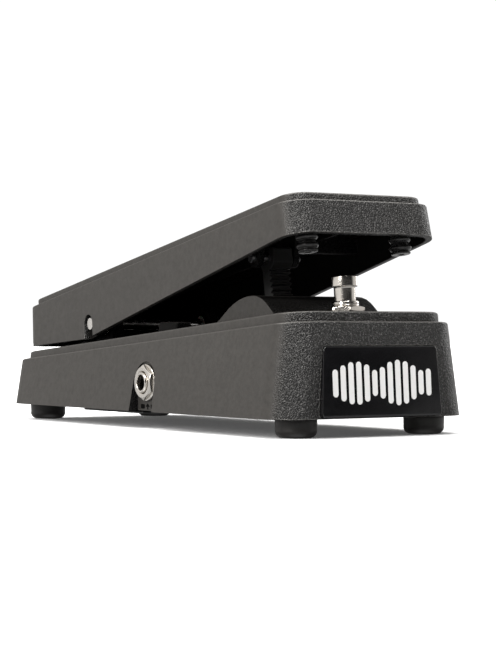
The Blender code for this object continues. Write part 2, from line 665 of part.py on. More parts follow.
def rack_outline():
    """Side view of the toothed bar, as (y, z) about the pin."""
    slope = math.tan(PRESSURE_ANGLE)
    tip_y, root_y = -PITCH_LINE - RACK_TIP, -PITCH_LINE + RACK_ROOT
    tip_half, root_half = TOOTH_HALF - RACK_TIP * slope, TOOTH_HALF + RACK_ROOT * slope
    teeth = []
    for i in range(RACK_TEETH):
        down = MESH_S + (i - 11) * PITCH
        teeth += [(root_y, root_half - down), (tip_y, tip_half - down),
                  (tip_y, -tip_half - down), (root_y, -root_half - down)]
    end = teeth[-1][1] - 0.4
    return ([(-6.2, 3.2), (-6.2, -2.6), (-4.6, -4.2), (tip_y, -5.4), (root_y, teeth[0][1] + 0.35)]
            + teeth
            + [(root_y, end), (-1.2, end - 0.6), (3.0, end - 0.6), (RACK_BACK, end),
               (RACK_BACK, -5.4), (4.2, -3.6), (4.2, 3.2), (3.2, 4.2), (-5.2, 4.2)])


rack_eye = rounded((-2.75, 2.75), (-2.2, 2.2), 2.15, 5)
outline("rack", [rack_outline(), rack_eye], RACK_X, "x", NYLON, rack_frame)


# ---- drive: pinion and control -----------------------------------------------
def pinion_outline():
    """Involute gear with a gap facing the rack, as (y, z) about its axis."""
    def involute(angle):
        return math.tan(angle) - angle

    base = PITCH_R * math.cos(PRESSURE_ANGLE)
    flank = []      # radius, half the tooth's angle there
    for radius in (PITCH_R - 1.0, base + 0.02, PITCH_R, PITCH_R + 0.72):
        angle = math.acos(min(1.0, base / radius))
        flank.append((radius, TOOTH_HALF / PITCH_R + involute(PRESSURE_ANGLE) - involute(angle)))
    tooth = [(radius, -half) for radius, half in flank] + flank[::-1]
    points = []
    for i in range(TEETH):
        middle = -RACK_LEAN + 2 * math.pi * (i + 0.5) / TEETH
        points += [(radius * math.cos(middle + turn), radius * math.sin(middle + turn))
                   for radius, turn in tooth]
    return points


outline("pinion", [pinion_outline(), circle(0, 0, 3.15, 16)], PINION_X, "x", NYLON, pinion_frame)

control_shaft = rod("control_shaft", 3.0, (-12.5, 3.4), "x", (0, 0), 24, STEEL, pinion_frame)
cut(control_shaft, box("shaft_slot", (-20.0, -10.9), (-0.5, 0.5), (-5.0, 5.0),
                       parent=pinion_frame))

control_body = rod("control_body", 12.0, (3.6, 12.2), "x", (0, 0), 28, STEEL, pinion_frame)
join(control_body, rod("control_nose", 4.8, (-1.3, 4.6), "x", (0, 0), 20, parent=pinion_frame))
cut(control_body, rod("control_well", 3.2, (-5.0, 4.0), "x", (0, 0), 20, parent=pinion_frame))
hex_nut("control_nut", across=13.0, height=2.0, bore=5.0, chamfer=0.95, finish=STEEL,
        parent=pinion_frame, x=0.9, turn=(0.0, -math.pi / 2, 0.0))

# ---- drive: sheet bracket ----------------------------------------------------
# An upright wing for the control, a foot beside it and a wing behind the guide.
BRACKET_X = 1.2
BRACKET_Z = 28.4
BRACKET_HEEL = -46.0
SHEET = 1.6
WING_R = 8.6

control_wing = (arc(PINION_Y, PINION_Z, WING_R, 0, 180, 12)
                + [(PINION_Y - WING_R, BRACKET_Z), (BRACKET_HEEL, BRACKET_Z),
                   (BRACKET_HEEL, 40.0), (-50.0, 42.0), (PINION_Y + 10.0, 42.0)])
gear_bracket = outline("gear_bracket", [control_wing], (BRACKET_X, BRACKET_X + SHEET), "x", STEEL)
join(gear_bracket,
     box("bracket_foot", (BRACKET_X, 20.5), (-92.6, BRACKET_HEEL), (BRACKET_Z, BRACKET_Z + SHEET)),
     box("bracket_wing", (-13.5, 2.0), (-52.6, -51.0), (BRACKET_Z, 46.0)))
cut(gear_bracket, rod("bracket_hole", 5.1, (-5.0, 8.0), "x", (PINION_Y, PINION_Z), 28))
for key, _, x, y, _ in DRIVE_FIXINGS:
    cut(gear_bracket, rod("bracket_screw_hole_" + key, 1.9, (25.0, 33.0), "z", (x, y), 14))
small_screws("bracket", DRIVE_FIXINGS, head_z=26.0)

# ---- drive: rack guide and its spring ----------------------------------------
GUIDE_Z = (-41.5, -30.5)    # along the rack, from the pin
CHEEK_Y = (1.2, 5.0)

guide = outline("rack_guide", [[(3.8, GUIDE_Z[1]), (3.8, GUIDE_Z[0]), (7.4, GUIDE_Z[0]),
                                (7.4, GUIDE_Z[1])]], (-13.0, -0.2), "x", NYLON, rack_frame)
join(guide,
     box("guide_cheek_a", (-13.0, -11.9), CHEEK_Y, GUIDE_Z, parent=rack_frame),
     box("guide_cheek_b", (-1.1, 0.9), CHEEK_Y, GUIDE_Z, parent=rack_frame))


def leaf():
    """Bowed strip between the guide and the bracket's rear wing, as (y, z) in the casing."""
    toe_side = [(-53.3 - 1.85 * math.sin(math.pi * i / 12), 33.0 + i) for i in range(13)]
    heel_side = [(y + 0.4, z) for y, z in toe_side]
    return toe_side + heel_side[::-1]


outline("guide_spring", [leaf()], (-9.5, -3.5), "x", STEEL)

# ---- circuit board -----------------------------------------------------------
# Profiles are radius, height above the floor.
INDUCTOR = [(0, 20.2), (6.8, 20.2), (7.2, 19.8), (7.2, 12.4), (6.8, 12.0), (0, 12.0)]
ELECTROLYTIC = [(0, 20.2), (3.9, 20.2), (4.0, 19.9), (4.0, 19.0), (3.7, 18.7),
                (4.0, 18.4), (4.0, 10.3), (3.7, 10.0), (0, 10.0)]

main_board = outline("main_board", [rounded((-11.0, 41.0), (32.0, 86.0), 1.5, 2)],
                     (20.5, 22.1), "z", BOARD)
for key, _, x, y, _ in BOARD_FIXINGS:
    cut(main_board, rod("board_hole_" + key, 1.8, (15, 30), "z", (x, y), 14))
small_screws("board", BOARD_FIXINGS, head_z=18.1)
shift(turned("inductor", INDUCTOR, 20, FERRITE), 24.0, 48.0)
shift(turned("electrolytic_capacitor", ELECTROLYTIC, 16, BLUE), 6.0, 72.0)
box("film_capacitor", (18.0, 30.0), (64.0, 68.5), (12.2, 20.2), OCHRE, round_off=0.6)

# ---- battery -----------------------------------------------------------------
PLUS_X, MINUS_X = -34.2, -21.6

battery = box("battery", (-41.0, -14.8), (-1.2, 45.6), (9.8, 26.6), BATTERY,
              round_off=2.0, segments=3)
for name, radius, x in (("plus", 2.9, PLUS_X), ("minus", 3.6, MINUS_X)):
    join(battery, rod("battery_terminal_" + name, radius, (44.0, 47.6), "y", (x, 18.2), 18))
box("battery_snap", (-40.4, -15.4), (47.9, 50.9), (12.2, 24.2), PLASTIC, round_off=1.0)


def bend(p0, p1, p2, p3, count=10):
    """Cubic path between two ends."""
    path = []
    for i in range(count + 1):
        t = i / count
        path.append([(1 - t) ** 3 * a + 3 * t * (1 - t) ** 2 * b + 3 * t * t * (1 - t) * c
                     + t ** 3 * d for a, b, c, d in zip(p0, p1, p2, p3)])
    return path


def wire(name, controls, finish):
    points = bend(*controls)
    curve = bpy.data.curves.new(name, "CURVE")
    curve.dimensions = "3D"
    curve.bevel_depth = 0.6 * MM
    curve.bevel_resolution = 2
    curve.use_fill_caps = True
    spline = curve.splines.new("POLY")
    spline.points.add(len(points) - 1)
    for point, (x, y, z) in zip(spline.points, points):
        point.co = (x * MM, y * MM, z * MM, 1.0)
    place(bpy.data.objects.new(name, curve), finish)


wire("battery_wire_red", [(PLUS_X, 51.3, 18.0), (PLUS_X, 64.0, 17.0), (-22.0, 66.0, 15.0),
                          (-9.5, 60.0, 19.2)], RED)
wire("battery_wire_black", [(MINUS_X, 51.3, 18.0), (MINUS_X, 59.0, 15.0), (-15.0, 58.0, 13.5),
                            (-8.5, 52.0, 19.2)], PLASTIC)

# ---- pivot bushes in the lugs, heel bumpers on the casing --------------------
# Radius, distance outwards from the lug's inner face.
BUSH_PROFILE = [(AXLE_BORE_R, 7.3), (5.6, 7.3), (5.6, 6.3), (4.1, 6.3), (4.1, 0.0),
                (AXLE_BORE_R, 0.0)]
# Radius, height over the casing's top face.
HEEL_BUMPER = [(0, 3.3), (4.2, 3.3), (5.0, 2.6), (5.0, 0.3), (0, 0.3)]
HEEL_BUMPER_X, HEEL_BUMPER_Y = 20.0, 106.5

for label, side in SIDES:
    shift(turned("pivot_bush_" + label, BUSH_PROFILE, 24, NYLON, closed=True),
          side * LUG_IN, PIVOT_Y, PIVOT_Z, (0.0, side * math.pi / 2, 0.0))
    shift(turned("heel_bumper_" + label, HEEL_BUMPER, 20, RUBBER),
          side * HEEL_BUMPER_X, HEEL_BUMPER_Y, top(HEEL_BUMPER_Y), (-LEAN, 0.0, 0.0))

# ---- treadle: shell, in axes along the deck with the pivot as origin ---------
RIB_TOP = DECK_UNDER + 0.8      # ribs, ears and bosses run into the deck
BUMPER_X, BUMPER_Y = 24.0, -168.3
MAT_IN = 3.2                    # inset of the mat's pocket from the deck's edge
EAR_Y, EAR_Z = swing(pin_rest, TILT)    # the rack pin, in the treadle's axes
EAR_GAP = (-14.8, 0.8)          # between the ears that hold the rack pin
EAR_T = 3.0

treadle_frame = frame("treadle_frame", 0.0, PIVOT_Y, PIVOT_Z, (-TILT, 0.0, 0.0))


def deck_section(grow, z, widen=0.0):
    """Section for tapered: the deck's plan grown all round, and its half width by widen too."""
    return DECK_X + grow + widen, (DECK_Y0 - grow, DECK_Y1 + grow), z


def deck_outline(inset, radius):
    return rounded((-DECK_X + inset, DECK_X - inset), (DECK_Y0 + inset, DECK_Y1 - inset), radius)


def skirt_line(y):
    """Height of the skirts' lower edge, two straight runs meeting at the kink."""
    (y0, z0), (y1, z1) = (TOE_EDGE, KINK) if y < KINK[0] else (KINK, HEEL_EDGE)
    return z0 + (z1 - z0) * (y - y0) / (y1 - y0)


def treadle_box(name, x_range, y_range, z_range):
    return box("treadle_" + name, x_range, y_range, z_range, parent=treadle_frame)


def treadle_outline(name, loop, span, axis="x"):
    return outline("treadle_" + name, [loop], span, axis, parent=treadle_frame)


def treadle_rod(name, radius, span, axis, at, count):
    return rod("treadle_" + name, radius, span, axis, at, count, parent=treadle_frame)


treadle_shell = tapered("treadle_shell", deck_section(SKIRT_OUT + 0.2, -9.0),
                        deck_section(RIM_OUT, RIM_Z), 11.8, 8, rim=0.7,
                        finish=CASING, parent=treadle_frame)
join(treadle_shell,
     tapered("treadle_deck", deck_section(0.1, RIM_Z - 2.0), deck_section(0.0, DECK_Z),
             9.4, 8, rim=0.8, parent=treadle_frame))
cut(treadle_shell,
    tapered("treadle_under", deck_section(SKIRT_OUT + 0.3 - SKIRT_WALL, -14.0),
            deck_section(RIM_OUT - SKIRT_WALL, 16.6, widen=0.05), 9.2, 6, parent=treadle_frame),
    tapered("treadle_under_deck", deck_section(-2.8, 12.0), deck_section(-3.2, DECK_UNDER),
            6.6, 6, parent=treadle_frame))

# ---- treadle: blocks, ribs, ears and bosses ----------------------------------
RIB_HALF = 36.4

join(treadle_shell, *[treadle_box("block_" + label, mirrored(side, 33.2, 37.6), (-8.0, 8.0),
                                  (-9.0, 8.5)) for label, side in SIDES])
join(treadle_shell,
     treadle_box("cross_rib", (-RIB_HALF, RIB_HALF), (EAR_Y - 4.6, EAR_Y - 2.4), (9.8, RIB_TOP)),
     treadle_box("heel_rib", (-RIB_HALF, RIB_HALF), (45.8, 48.6), (-0.75, RIB_TOP)))
join(treadle_shell, *[treadle_box("spine_" + label, around(side * 13.0, 1.0), (-174.0, 64.0),
                                  (14.6, RIB_TOP)) for label, side in SIDES])
cut(treadle_shell,
    treadle_box("rib_gap", EAR_GAP, (EAR_Y - 8.0, EAR_Y + 2.0), (0.0, DECK_UNDER)))

ear_shape = arc(EAR_Y, EAR_Z, 4.0, 180, 360, 12) + [(EAR_Y + 7.5, RIB_TOP), (EAR_Y - 7.5, RIB_TOP)]
join(treadle_shell,
     treadle_outline("ear_left", ear_shape, (EAR_GAP[0] - EAR_T, EAR_GAP[0])),
     treadle_outline("ear_right", ear_shape, (EAR_GAP[1], EAR_GAP[1] + EAR_T)))
join(treadle_shell, *[treadle_rod("boss_" + label, 2.6, (13.4, RIB_TOP), "z",
                                  (side * BUMPER_X, BUMPER_Y), 20) for label, side in SIDES])

# ---- treadle: trimmed edge, recesses and holes -------------------------------
below = [(-200.0, skirt_line(-200.0)), KINK, (95.0, skirt_line(95.0)),
         (95.0, -60.0), (-200.0, -60.0)]
cut(treadle_shell, treadle_outline("below", below, (-60.0, 60.0)))

axle_recess = [(4.2, -30.0)] + arc(0, 0.2, 4.2, 0, 180, 14) + [(-4.2, -30.0)]
cut(treadle_shell, *[treadle_outline("recess_" + label, axle_recess, mirrored(side, 36.2, 60))
                     for label, side in SIDES])
cut(treadle_shell, *[treadle_rod("axle_hole_" + label, AXLE_BORE_R, mirrored(side, 30.0, 45.0),
                                 "x", (0, 0), 32) for label, side in SIDES])
cut(treadle_shell,
    treadle_rod("pin_hole", PIN_R + 0.1, (-22.0, 8.0), "x", (EAR_Y, EAR_Z), 20),
    treadle_outline("mat_pocket", deck_outline(MAT_IN, 6.2), (21.4, 30.0), "z"))

# ---- treadle: mat, axle, clips and rack pin ----------------------------------
outline("treadle_mat", [deck_outline(MAT_IN + 0.3, 5.9)], (21.6, 23.3), "z", RUBBER,
        treadle_frame)
rod("pivot_axle", AXLE_R, (-38.0, 38.0), "x", (0, 0), 32, NICKEL, treadle_frame)
clip_shape = arc(0, 0, AXLE_BORE_R, 240, -60, 18) + arc(0, 0, 5.0, -60, 240, 18)
for label, side in SIDES:
    outline("axle_clip_" + label, [clip_shape], mirrored(side, 31.9, 32.7), "x", STEEL,
            treadle_frame)
rod("rack_pin", PIN_R, (-19.6, 5.4), "x", (EAR_Y, EAR_Z), 20, STEEL, treadle_frame)


# ---- treadle: toe bumpers and switch pad -------------------------------------
def toe_bumper_profile():
    """Radius, height: a ribbed plug with a blind bore that fits over the boss."""
    points = [(0.0, 13.0), (2.9, 13.0), (2.9, 19.1), (4.1, 19.1)]
    for z in (10.0, 6.4, 2.8):
        points += [(4.1, z), (4.8, z - 0.6), (4.8, z - 2.0), (4.1, z - 2.6)]
    # The lowest rib runs straight into the foot.
    return points[:-1] + [(4.4, -0.5), (0.0, -0.5)]


for label, side in SIDES:
    shift(turned("toe_bumper_" + label, toe_bumper_profile(), 18, RUBBER, treadle_frame),
          side * BUMPER_X, BUMPER_Y)
box("switch_pad", (-8.0, 8.0), (-167.5, -150.5), (16.1, 19.1), RUBBER, treadle_frame,
    round_off=0.6)

# ---- the object's middle comes over the origin -------------------------------
# The badge at the casing's toe and the treadle's heel are the two ends of the object.
MIDDLE_Y = 0.36
pedal_frame = frame("pedal_frame", 0.0, -MIDDLE_Y, 0.0)
for obj in bpy.data.objects:
    if obj.parent is None and obj is not pedal_frame:
        obj.parent = pedal_frame

bpy.context.view_layer.update()
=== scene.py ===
"""Looks of a rocker-treadle effects pedal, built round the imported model.

+Z is up. The toe end faces -Y and the heel +Y; the input socket is on the -X side, the
output socket on the +X side. The scene is in metres, profiles and outlines are in mm.
"""
import json
import math

import bmesh
import bpy
from mathutils import Matrix, Vector

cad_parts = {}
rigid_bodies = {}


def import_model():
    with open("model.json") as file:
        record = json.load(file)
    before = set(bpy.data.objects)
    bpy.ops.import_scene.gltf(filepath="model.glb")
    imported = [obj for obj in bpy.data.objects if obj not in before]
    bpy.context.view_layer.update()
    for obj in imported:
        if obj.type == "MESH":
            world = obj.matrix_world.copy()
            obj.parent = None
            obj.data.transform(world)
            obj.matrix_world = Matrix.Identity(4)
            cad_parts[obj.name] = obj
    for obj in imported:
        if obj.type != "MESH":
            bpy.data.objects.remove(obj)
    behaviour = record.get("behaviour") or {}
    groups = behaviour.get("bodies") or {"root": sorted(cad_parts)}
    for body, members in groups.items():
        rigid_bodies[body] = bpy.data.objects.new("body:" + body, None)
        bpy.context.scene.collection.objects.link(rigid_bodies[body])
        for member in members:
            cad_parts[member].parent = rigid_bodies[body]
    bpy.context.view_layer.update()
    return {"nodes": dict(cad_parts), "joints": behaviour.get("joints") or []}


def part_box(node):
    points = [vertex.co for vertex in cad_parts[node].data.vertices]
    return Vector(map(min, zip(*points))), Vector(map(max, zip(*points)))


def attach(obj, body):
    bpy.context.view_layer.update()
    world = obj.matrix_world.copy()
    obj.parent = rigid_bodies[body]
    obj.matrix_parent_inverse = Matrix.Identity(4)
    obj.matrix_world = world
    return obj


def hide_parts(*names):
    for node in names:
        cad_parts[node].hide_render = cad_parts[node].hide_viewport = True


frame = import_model()
scene = bpy.context.scene

MM = 0.001
JOINTS = {joint["name"]: joint for joint in frame["joints"]}
PIVOT = Vector(JOINTS["treadle_tilt"]["pos_m"])
TILT = math.radians(10.07)      # the treadle rests with its toe end raised
NOISE_SPAN = (0.3, 0.7)         # where most of a noise texture's values lie


# ------------------------------------------------------------------ node helpers
class Nodes:
    """Shorthand for the node tree of a material or world."""

    def __init__(self, owner):
        owner.use_nodes = True
        self.tree = owner.node_tree
        self.tree.nodes.clear()

    def put(self, socket, value):
        if hasattr(value, "is_output"):
            self.tree.links.new(value, socket)
        elif isinstance(value, tuple) and len(value) == 3 and socket.type == "RGBA":
            socket.default_value = (*value, 1.0)
        else:
            socket.default_value = value

    def node(self, kind, inputs=None, **settings):
        made = self.tree.nodes.new(kind)
        for key, value in settings.items():
            setattr(made, key, value)
        for key, value in (inputs or {}).items():
            self.put(made.inputs[key], value)
        return made

    def math(self, operation, first, *rest):
        """One operation, carried on from the left through all the values."""
        for other in rest or (0.0,):
            made = self.node("ShaderNodeMath", {0: first, 1: other}, operation=operation)
            first = made.outputs[0]
        return first

    def add(self, *terms):
        return self.math("ADD", *terms)

    def minus(self, value, taken):
        return self.math("SUBTRACT", value, taken)

    def times(self, *factors):
        return self.math("MULTIPLY", *factors)

    def most(self, *values):
        return self.math("MAXIMUM", *values)

    def ramp(self, value, across=NOISE_SPAN, to=(0.0, 1.0), curve="LINEAR"):
        """The value's range `across` carried to the range `to`, and held at its ends."""
        inputs = {"Value": value, "From Min": across[0], "From Max": across[1],
                  "To Min": to[0], "To Max": to[1]}
        return self.node("ShaderNodeMapRange", inputs, interpolation_type=curve).outputs[0]

    def smooth(self, value, across, to=(0.0, 1.0)):
        return self.ramp(value, across, to, curve="SMOOTHSTEP")

    def axes(self, vector):
        """The x, y and z of a vector."""
        return tuple(self.node("ShaderNodeSeparateXYZ", {0: vector}).outputs)


class Graph(Nodes):
    """A new material round one Principled shader."""

    def __init__(self, name):
        self.mat = bpy.data.materials.new(name)
        super().__init__(self.mat)
        self.out = self.node("ShaderNodeOutputMaterial")
        self.bsdf = self.node("ShaderNodeBsdfPrincipled")
        self.put(self.out.inputs[0], self.bsdf.outputs[0])
        self.coord = self.node("ShaderNodeTexCoord").outputs["Object"]

    def normal(self):
        return self.node("ShaderNodeNewGeometry").outputs["Normal"]

    def stretched(self, *scale):
        return self.node("ShaderNodeMapping", {"Vector": self.coord, "Scale": scale}).outputs[0]

    def noise(self, scale, detail=2.0, roughness=0.5, vector=None):
        inputs = {"Vector": vector or self.coord, "Scale": scale, "Detail": detail,
                  "Roughness": roughness}
        return self.node("ShaderNodeTexNoise", inputs).outputs[0]

    def cells(self, scale, smoothness):
        made = self.node("ShaderNodeTexVoronoi", {"Vector": self.coord, "Scale": scale},
                         feature="SMOOTH_F1")
        made.inputs["Smoothness"].default_value = smoothness
        return made.outputs["Distance"]

    def mix(self, factor, a, b, blend="MIX"):
        made = self.node("ShaderNodeMix", data_type="RGBA", blend_type=blend)
        for slot, value in ((0, factor), (6, a), (7, b)):
            self.put(made.inputs[slot], value)
        return made.outputs[2]

    def scale_colour(self, colour, factor):
        grey = self.node("ShaderNodeCombineColor", {0: factor, 1: factor, 2: factor}).outputs[0]
        return self.mix(1.0, colour, grey, "MULTIPLY")

    def bump(self, height, distance, strength=1.0, normal=None):
        inputs = {"Height": height, "Distance": distance, "Strength": strength}
        if normal is not None:
            inputs["Normal"] = normal
        return self.node("ShaderNodeBump", inputs).outputs[0]

    def soft_edge(self, radius):
        return self.node("ShaderNodeBevel", {"Radius": radius}, samples=6).outputs[0]

    def edge_mask(self, radius):
        """1 on convex and concave edges, 0 on flats."""
        dot = self.node("ShaderNodeVectorMath", {0: self.soft_edge(radius), 1: self.normal()},
                        operation="DOT_PRODUCT").outputs["Value"]
        return self.smooth(self.minus(1.0, dot), across=(0.004, 0.12))

    def finish(self, colour, roughness, metallic=0.0, **more):
        """Fill the shader; an underscore in a name stands for a space."""
        inputs = {"Base_Color": colour, "Roughness": roughness, "Metallic": metallic, **more}
        for key, value in inputs.items():
            self.put(self.bsdf.inputs[key.replace("_", " ")], value)
        return self.mat


def toned(colour, factor, lift=0.0):
    return tuple(min(1.0, c * factor + lift) for c in colour)


# ------------------------------------------------------------------ materials
def painted_shade_under_treadle(g):
    """Mask of painted shade: 1 inside the treadle's hollow, 0 on its outside, measured in the
    treadle's own frame.
    """
    half_width, toe, heel, corner = 0.0370, -0.1785, 0.0673, 0.0130
    fade = 0.0003
    roof = (0.0200, 0.0196)     # the dark sets in going down between these heights
    x, y, z = g.axes(g.coord)
    y = g.minus(y, PIVOT.y)
    z = g.minus(z, PIVOT.z)
    cosine, sine = math.cos(TILT), math.sin(TILT)
    along = g.minus(g.times(y, cosine), g.times(z, sine))
    up = g.add(g.times(y, sine), g.times(z, cosine))
    out_x = g.most(g.minus(g.math("ABSOLUTE", x), half_width - corner), 0.0)
    out_y = g.most(g.minus(toe + corner, along), g.minus(along, heel - corner), 0.0)
    reach = g.math("SQRT", g.add(g.times(out_x, out_x), g.times(out_y, out_y)))
    inside = g.ramp(reach, across=(corner + fade, corner - fade))
    return g.times(inside, g.ramp(up, across=roof))


def painted_shade_in_gap(g):
    """Mask of painted shade: 1 on the casing's top behind the hill, its lugs and boss, on the
    hill's toe side, and on the toe-facing flanks of the socket recesses.
    """
    deck_height, deck_fall = 0.0426, 0.078      # at y = 0, and per length towards the heel
    x, y, z = g.axes(g.coord)
    _, facing_y, facing_z = g.axes(g.normal())
    above = g.minus(z, g.minus(deck_height, g.times(y, deck_fall)))
    high = g.ramp(above, across=(0.0003, 0.0006))
    across = g.math("ABSOLUTE", x)
    back = g.ramp(y, across=(-0.0340, -0.0300))
    level = g.ramp(facing_z, across=(0.90, 0.97))
    level_relief, deck_share = 0.7, 0.6     # how far level faces are spared; deck's darkness
    walls = g.times(high, back, g.minus(1.0, g.times(level, level_relief)))
    deck = g.times(back, g.ramp(across, across=(0.0388, 0.0380)),
                   g.ramp(above, across=(-0.0015, -0.0010)))
    toe_side = g.times(high, g.ramp(facing_y, across=(-0.10, -0.30)),
                       g.ramp(across, across=(0.0300, 0.0290)))
    held = g.most(walls, g.times(deck, deck_share, g.minus(1.0, high)))
    flank = g.times(g.ramp(facing_y, across=(-0.30, -0.50)),
                    g.ramp(across, across=(0.0445, 0.0450)),
                    g.times(g.ramp(y, across=(-0.0300, -0.0290)),
                            g.ramp(y, across=(0.0060, 0.0050))))
    return g.most(held, toe_side, flank)


def casting_paint(name, tone=1.0, coarse=1.0, shade=None, depth=0.8):
    """Texture paint on a casting: a fine even grain on the sides, big pebbles on the ends.

    tone scales the colours, coarse the pebbles' height; shade gives a mask of places darkened
    with painted shade, and depth says how dark they are.
    """
    base = toned((0.0450, 0.0418, 0.0380), tone)
    painted_glint_tone = toned((0.165, 0.162, 0.157), tone)
    edge_wear_and_highlight_tone = toned((0.250, 0.243, 0.232), tone)
    painted_rim_highlight_tone = toned((0.340, 0.332, 0.320), tone)
    painted_shade_tone = (0.0015, 0.0015, 0.0015)
    whole = (0.0, 1.0)

    g = Graph(name)
    _, facing_y, facing_z = g.axes(g.normal())
    ends = g.smooth(g.math("ABSOLUTE", facing_y), across=(0.28, 0.72))
    under = g.smooth(facing_z, across=(-0.30, -0.85))
    pebble = g.cells(scale=1500.0, smoothness=0.35)
    pebble_fine = g.cells(scale=2500.0, smoothness=0.4)
    grain = g.noise(scale=4200.0, detail=1.0)
    broad = g.noise(scale=24.0, detail=3.0, roughness=0.55)
    blotch = g.noise(scale=230.0, roughness=0.6)

    # Colour: speckle on the sides, painted shade on the ends, painted glints on the ends, edges
    # paler from wear and painted highlight, and a painted highlight on the upper rim.
    # Painted shade: the end faces are painted far darker than the sides, darkest between the
    # pebbles.
    end_face_painted_shade = g.ramp(pebble, across=(0.12, 0.60), to=(0.34, 0.05))
    speck_sides = g.ramp(g.noise(scale=430.0, detail=4.0, roughness=0.8), to=(0.74, 1.26))
    speckle_and_end_shade = g.add(g.times(end_face_painted_shade, ends), g.times(speck_sides, g.minus(1.0, ends)))
    # Painted glints: pale specks painted on the ends where a fine noise peaks.
    glints = g.noise(scale=1350.0, roughness=0.6)
    painted_glint = g.times(g.smooth(glints, across=(0.56, 0.65)), ends)
    # Downward faces are darkened to 0.45 of the colour: painted shade.
    colour = g.scale_colour(base, g.times(
        speckle_and_end_shade, g.ramp(broad, to=(0.95, 1.05)), g.ramp(blotch, to=(0.96, 1.04)),
        g.ramp(under, across=whole, to=(1.0, 0.45))))
    painted_glint_share = 0.65
    colour = g.mix(g.times(painted_glint, painted_glint_share), colour, painted_glint_tone)
    patches = g.noise(scale=420.0, detail=3.0, roughness=0.65)
    # Edges paler partly from wear and partly as a painted highlight, mostly on the ends.
    worn = g.times(g.edge_mask(radius=0.0010),
                   g.smooth(patches, across=(0.36, 0.62), to=(0.45, 1.0)),
                   g.ramp(ends, across=whole, to=(0.12, 0.75)))
    colour = g.mix(worn, colour, edge_wear_and_highlight_tone)
    # Painted highlight on rounded rims that face partly upwards, mostly on the ends.
    rim = g.times(g.smooth(facing_z, across=(0.22, 0.50)),
                  g.smooth(facing_z, across=(0.97, 0.88)),
                  g.ramp(g.math("ABSOLUTE", facing_y), across=(0.10, 0.40), to=(0.10, 0.80)))
    colour = g.mix(rim, colour, painted_rim_highlight_tone)
    specular = g.ramp(ends, across=whole, to=(0.5, 0.68))
    # Painted shade: the masked places are painted near black and lose most of their reflection.
    if shade is not None:
        held = shade(g)
        colour = g.mix(g.times(held, depth), colour, painted_shade_tone)
        specular = g.times(specular, g.ramp(held, across=whole, to=(1.0, 0.12)))

    # Surface: the ends are glossier, most of all on the pebbles' tops.
    end_gloss, fine_share = -0.06, -0.8
    rough = g.add(g.ramp(blotch, to=(0.44, 0.54)), g.times(ends, end_gloss),
                  g.times(ends, g.ramp(pebble, across=(0.1, 0.6), to=(-0.17, 0.04))))
    fine = g.bump(g.add(grain, g.times(pebble_fine, fine_share)), distance=0.00003,
                  strength=0.65, normal=g.soft_edge(radius=0.0005))
    deep = g.bump(g.times(pebble, -1.0, ends), distance=0.00065 * coarse, strength=0.9,
                  normal=fine)
    return g.finish(colour, rough, Normal=deep, Specular_IOR_Level=specular)


def rubber(name, tone, rough, grain=3800.0, dust=0.35):
    """Matt rubber, dusty on upward faces and paler on its edges."""
    worn_share = 0.35
    g = Graph(name)
    broad = g.noise(scale=90.0, detail=3.0, roughness=0.6)
    fine = g.noise(scale=grain, roughness=0.6)
    up = g.smooth(g.axes(g.normal())[2], across=(0.2, 1.0))
    dusty = g.times(up, g.smooth(broad, across=(0.42, 0.70)), dust)
    colour = g.scale_colour(tone, g.ramp(broad, to=(0.85, 1.2)))
    colour = g.mix(dusty, colour, toned(tone, factor=3.0, lift=0.01))
    patches = g.smooth(g.noise(scale=600.0), across=(0.4, 0.65))
    worn = g.times(g.edge_mask(radius=0.0004), patches, worn_share)
    colour = g.mix(worn, colour, toned(tone, factor=3.2))
    normal = g.bump(fine, distance=0.00002, strength=0.5, normal=g.soft_edge(radius=0.0003))
    return g.finish(colour, g.ramp(broad, to=(rough - 0.07, rough + 0.08)), Normal=normal,
                    Specular_IOR_Level=0.45, Sheen_Weight=0.08, Sheen_Roughness=0.5)


def metal(name, tone, rough):
    """Plated or plain metal with fine tool lines, faint stains and bright edges."""
    edge_share = 0.35
    g = Graph(name)
    lines = g.noise(scale=900.0, detail=3.0, roughness=0.6, vector=g.stretched(1.0, 1.0, 9.0))
    stain = g.noise(scale=150.0, detail=3.0, roughness=0.6)
    colour = g.scale_colour(tone, g.ramp(stain, across=(0.3, 0.72), to=(1.03, 0.90)))
    edge = g.times(g.edge_mask(radius=0.0003), edge_share)
    colour = g.mix(edge, colour, toned(tone, factor=1.18))
    roughness = g.add(g.ramp(lines, to=(rough - 0.03, rough + 0.05)),
                      g.ramp(stain, across=(0.35, 0.75), to=(0.0, 0.08)))
    normal = g.bump(lines, distance=0.000008, strength=0.6, normal=g.soft_edge(radius=0.0002))
    return g.finish(colour, roughness, metallic=1.0, Normal=normal)


def plastic(name, tone, rough, grain=2600.0, depth=0.00002, coat=0.0, bleed=0.0):
    """Moulded plastic; bleed is the share of light that scatters inside it."""
    edge_share = 0.25
    g = Graph(name)
    broad = g.noise(scale=110.0, detail=3.0, roughness=0.55)
    fine = g.noise(scale=grain, roughness=0.55)
    colour = g.scale_colour(tone, g.ramp(broad, to=(0.92, 1.08)))
    edge = g.times(g.edge_mask(radius=0.0003), edge_share)
    colour = g.mix(edge, colour, toned(tone, factor=1.35, lift=0.01))
    normal = g.bump(fine, distance=depth, strength=0.55, normal=g.soft_edge(radius=0.00025))
    extra = {"Subsurface_Weight": bleed, "Subsurface_Scale": 0.001} if bleed else {}
    return g.finish(colour, g.ramp(broad, to=(rough - 0.05, rough + 0.06)), Normal=normal,
                    Coat_Weight=coat, Coat_Roughness=0.12, **extra)


